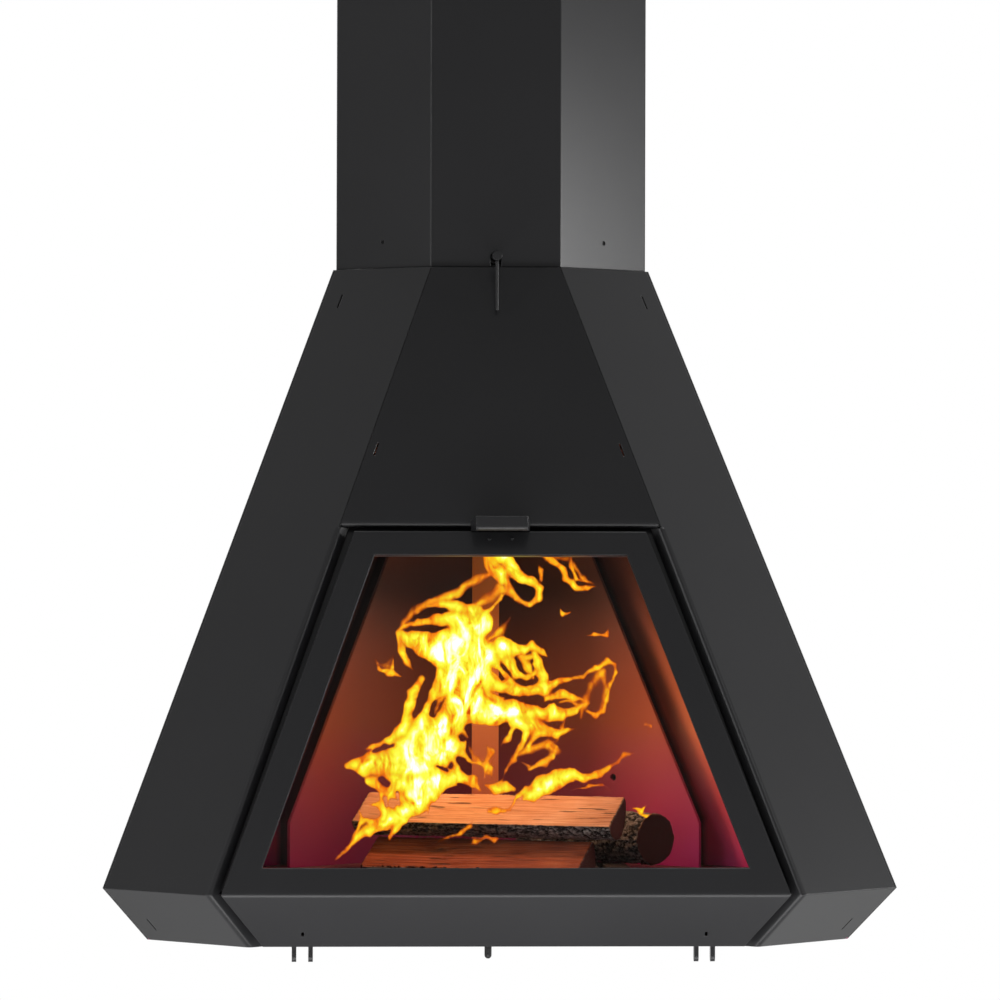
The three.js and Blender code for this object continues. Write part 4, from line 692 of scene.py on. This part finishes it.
WISP = (  # thin, cooler tongues along its edges
    (
        (-114, 341, 2), (-109, 361, 4), (-93, 378, 5), (-70, 386, 5), (-47, 395, 6), (-24, 409, 6),
        (-6, 418, 4),
    ),
    ((-34, 373, 5), (-13, 389, 7), (1, 400, 6), (15, 393, 4), (24, 382, 2)),
    ((-13, 341, 4), (3, 352, 5), (12, 366, 3)),
    ((54, 432, 2), (66, 437, 3), (78, 432, 3)),
    ((78, 437, 2), (87, 425, 3), (98, 412, 3), (108, 405, 2)),
    ((92, 254, 3), (97, 274, 5), (104, 292, 6), (116, 305, 5), (120, 285, 4), (115, 265, 3), (106, 256, 2)),
    ((67, 271, 2), (81, 274, 3), (90, 267, 3)),
    ((12, 211, 3), (32, 218, 5), (53, 225, 6), (62, 216, 5), (49, 202, 4)),
    ((-36, 220, 3), (-27, 207, 4), (-16, 193, 3), (-9, 211, 2)),
    ((37, 298, 3), (32, 310, 5), (25, 321, 5), (39, 324, 4)),
    ((62, 229, 2), (69, 242, 3), (74, 251, 2)),
    ((158, 242, 1.5), (165, 249, 2), (169, 238, 2), (162, 227, 1)),
    ((-153, 324, 1), (-141, 314, 2), (-130, 312, 4), (-123, 323, 2)),
    ((-36, 231, 2), (-47, 242, 4), (-40, 256, 3)),
    ((111, 181, 1.5), (122, 173, 2), (106, 171, 1.5)),
    ((-58, 285, 3), (-69, 274, 3), (-74, 260, 2)),
)

# the sheet that the strokes are drawn on follows the body's leaning front, some way behind it
WIDEST_Z, WIDEST_Y = 62, 569  # height of the body's widest line and its distance from the room's corner
FRONT_LEAN = 272 / 709
RECESS = 62
# low down the curtain leaves that sheet and stands on the logs instead
LOG_TOP, CLEAR_ABOVE = 130, 150  # where it starts to leave them, and over what height it does
LOG_FRONT, LOG_MIDDLE = 442, -38
WAVE = 14  # how far the curtain swings to the front and to the rear
SWELL, FULL_DEPTH = 8, 16  # it is thicker the deeper a place lies inside a stroke, up to that depth
SWIRL, SWIRL_REACH = (0.07, 0.05, 1), 2.2  # how fast the strokes' outlines wander along X and Z, and how far
CURL = (0.016, 0.016, 1)  # how fast the curtain's swing changes along them

CELL = 1.5  # the curtain is made of squares of this size
MERGE = 1.8  # how softly strokes run together
HOT_DEPTH = 12  # distance from the flames' edge at which the gas is hottest
WISP_HEAT = 0.45
COOLEST = 0.36  # heat left in a tongue with no other flame around it
CROWDED = (0.12, 0.62)  # share of flame around a place from which it warms, and at which it is fully warm
REACH = 16  # cells
STEEPEST = 40  # keeps the exponential within what a number can hold
X_RANGE, Z_RANGE = (-204, 172), (84, 452)


def placed(x, z, bend):
    """A point of the drawn sheet moved along its line of sight, down onto the logs and wavy above them."""
    drawn = RECESS - WIDEST_Y + (z - WIDEST_Z) * FRONT_LEAN
    by_logs = math.tan(LOG_TURN) * (x - LOG_MIDDLE) - LOG_FRONT
    share = float(fade(z, LOG_TOP, LOG_TOP + CLEAR_ABOVE))
    depth = by_logs + share * (drawn - by_logs) + WAVE * bend
    eye = camera.location * 1000
    reach = (depth - eye.y) / (drawn - eye.y)
    return eye.x + (x - eye.x) * reach, depth, eye.z + (z - eye.z) * reach


def nearness(strokes, x, z):
    """How far inside each stroke the points lie, in mm, melted together."""
    total = np.zeros(x.shape)
    for stroke in strokes:
        for (ax, az, ar), (bx, bz, br) in zip(stroke[:-1], stroke[1:]):
            dx, dz = bx - ax, bz - az
            share = np.clip(((x - ax) * dx + (z - az) * dz) / max(dx * dx + dz * dz, 1e-6), 0, 1)
            away = np.hypot(x - ax - share * dx, z - az - share * dz)
            total += np.exp(np.clip((ar + share * (br - ar) - away) / MERGE, -STEEPEST, STEEPEST))
    return MERGE * np.log(total + 1e-18)


xs = np.arange(X_RANGE[0], X_RANGE[1], CELL)
zs = np.arange(Z_RANGE[0], Z_RANGE[1], CELL)
gx, gz = np.meshgrid(xs, zs, indexing="ij")
flat = np.stack([gx.ravel(), gz.ravel(), np.zeros(gx.size)], 1)
wx = gx + noise_at(flat + 500, SWIRL).reshape(gx.shape) * SWIRL_REACH
wz = gz + noise_at(flat + 900, SWIRL).reshape(gx.shape) * SWIRL_REACH
core = np.minimum(nearness(BODY, wx, wz), -nearness(HOLE, wx, wz))
spark = nearness(SPARK, wx, wz)
wisp = nearness(WISP, wx, wz)
deep = np.maximum(np.maximum(core, wisp), spark)
warmth = np.clip(np.maximum(core, wisp * WISP_HEAT) / HOT_DEPTH, 0, 1)
# how much flame stands around each point: thin tongues far from it are cooler
crowd = (core > 0).astype(float)
window = np.hanning(2 * REACH + 1)
window /= window.sum()
for axis in (0, 1):
    crowd = np.apply_along_axis(np.convolve, axis, crowd, window, mode="same")
warmth = warmth * (COOLEST + (1 - COOLEST) * fade(crowd, *CROWDED))
warmth = np.maximum(warmth, np.clip(spark / HOT_DEPTH, 0, 1))
curl = noise_at(flat, CURL, 3).reshape(gx.shape)

made, points, heats = {}, [], []


def vertex(near, far):
    """The front one of two points, at a cell's corner or at the place between two where the flame ends."""
    if (near, far) not in made:
        at_corner = near == far
        share = 0 if at_corner else deep[near] / (deep[near] - deep[far])
        x = gx[near] + share * (gx[far] - gx[near])
        z = gz[near] + share * (gz[far] - gz[near])
        bend = curl[near] + share * (curl[far] - curl[near])
        swell = math.sqrt(SWELL * min(deep[near], FULL_DEPTH)) if at_corner else 0
        x, y, z = placed(x, z, bend)
        made[near, far] = len(points)
        points.append((x / 1000, (y - swell) / 1000, z / 1000))
        points.append((x / 1000, (y + swell) / 1000, z / 1000))
        heats.extend([warmth[near] if at_corner else 0] * 2)
    return made[near, far]


faces = []
inside = deep > 0
for i in range(len(xs) - 1):
    for j in range(len(zs) - 1):
        corners = [(i, j), (i + 1, j), (i + 1, j + 1), (i, j + 1)]
        outline = []
        for at, after in zip(corners, corners[1:] + corners[:1]):
            if inside[at]:
                outline.append(vertex(at, at))
            if inside[at] != inside[after]:
                outline.append(vertex(at, after) if inside[at] else vertex(after, at))
        if len(outline) > 2:
            faces.append(outline)
            faces.append([front + 1 for front in reversed(outline)])
mesh = bpy.data.meshes.new("flames")
mesh.from_pydata(points, [], faces)
mesh.attributes.new("depth_of_gas", "FLOAT", "POINT").data.foreach_set("value", np.array(heats, np.float32))
flames = bpy.data.objects.new("flames", mesh)
bpy.context.scene.collection.objects.link(flames)
bpy.ops.object.select_all(action="DESELECT")
flames.select_set(True)
bpy.context.view_layer.objects.active = flames
bpy.ops.object.mode_set(mode="EDIT")
bpy.ops.mesh.select_all(action="SELECT")
bpy.ops.mesh.remove_doubles(threshold=1e-6)
bpy.ops.object.mode_set(mode="OBJECT")
bpy.ops.object.shade_smooth()

# to the eye: orange tongues that clear to lemon yellow, with streams of white in the thickest gas
GLOW = [
    (0, "#a02804"), (0.1, "#e2580a"), (0.19, "#ff8e14"), (0.29, "#ffc21c"),
    (0.42, "#fff02a"), (0.62, "#fff94e"), (0.8, "#fffdb4"), (1, "#fffff4"),
]
LICK, THREADS = 20.8, 11.1  # widths of a tongue of gas and of the finer threads in it
STREAM_TURN = math.radians(25)
BRISKNESS = 0.55  # below 1 the gas warms fast behind the flames' edge
BRISK_SHARE = 0.66
RAGGED = 0.35  # how much the flicker tears the edge
licks_range = {"From Min": 0.3, "From Max": 0.7, "To Min": -0.5, "To Max": 0.5}
threads_range = {"From Min": 0.3, "From Max": 0.7, "To Min": -0.12, "To Max": 0.12}
strength_range = {"From Min": 0.4, "From Max": 1, "To Min": 1, "To Max": 1.6}
edge_range = {"From Min": 0, "From Max": 0.16, "To Min": 0, "To Max": 1, "interpolation_type": "SMOOTHSTEP"}
fire, tree, surface, place = new_material("glowing_flame")
heat = add(tree, "Attribute", {"attribute_name": "depth_of_gas"}).outputs["Fac"]
streams = {"Scale": (1, 0.5, 0.5), "Rotation": (0, STREAM_TURN, 0)}
streams = add(tree, "Mapping", streams, {"Vector": place}).outputs[0]
licks = {"Scale": repeats(LICK), "Detail": 3, "Roughness": 0.5, "Distortion": 1.4}
licks = add(tree, "TexNoise", licks, {"Vector": streams}).outputs["Fac"]
licks = add(tree, "MapRange", licks_range, {"Value": licks}).outputs[0]
threads = {"Scale": repeats(THREADS), "Detail": 2, "Distortion": 2}
threads = add(tree, "TexNoise", threads, {"Vector": streams}).outputs["Fac"]
threads = add(tree, "MapRange", threads_range, {"Value": threads}).outputs[0]
spread = add(tree, "Math", {"operation": "ADD"}, {0: licks, 1: threads}).outputs[0]
force = add(tree, "MapRange", {"To Min": 0.1, "To Max": 1}, {"Value": heat}).outputs[0]
flicker = add(tree, "Math", {"operation": "MULTIPLY"}, {0: spread, 1: force}).outputs[0]
brisk = add(tree, "Math", {"operation": "POWER", 1: BRISKNESS}, {0: heat}).outputs[0]
hot = add(tree, "Math", {"operation": "MULTIPLY_ADD", 1: BRISK_SHARE}, {0: brisk, 2: flicker}).outputs[0]
colour = add(tree, "ValToRGB", {"stops": GLOW}, {"Fac": hot}).outputs[0]
strength = add(tree, "MapRange", strength_range, {"Value": hot}).outputs[0]
edge = add(tree, "Math", {"operation": "MULTIPLY_ADD", 1: RAGGED}, {0: flicker, 2: heat}).outputs[0]
solid = add(tree, "MapRange", edge_range, {"Value": edge}).outputs[0]
tree.links.new(colour, surface.inputs["Emission Color"])
tree.links.new(strength, surface.inputs["Emission Strength"])
tree.links.new(solid, surface.inputs["Alpha"])
surface.inputs["Base Color"].default_value = linear("#000000")
surface.inputs["Roughness"].default_value = 1
surface.inputs["Specular IOR Level"].default_value = 0
flames.data.materials.append(fire)
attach(flames, "body")
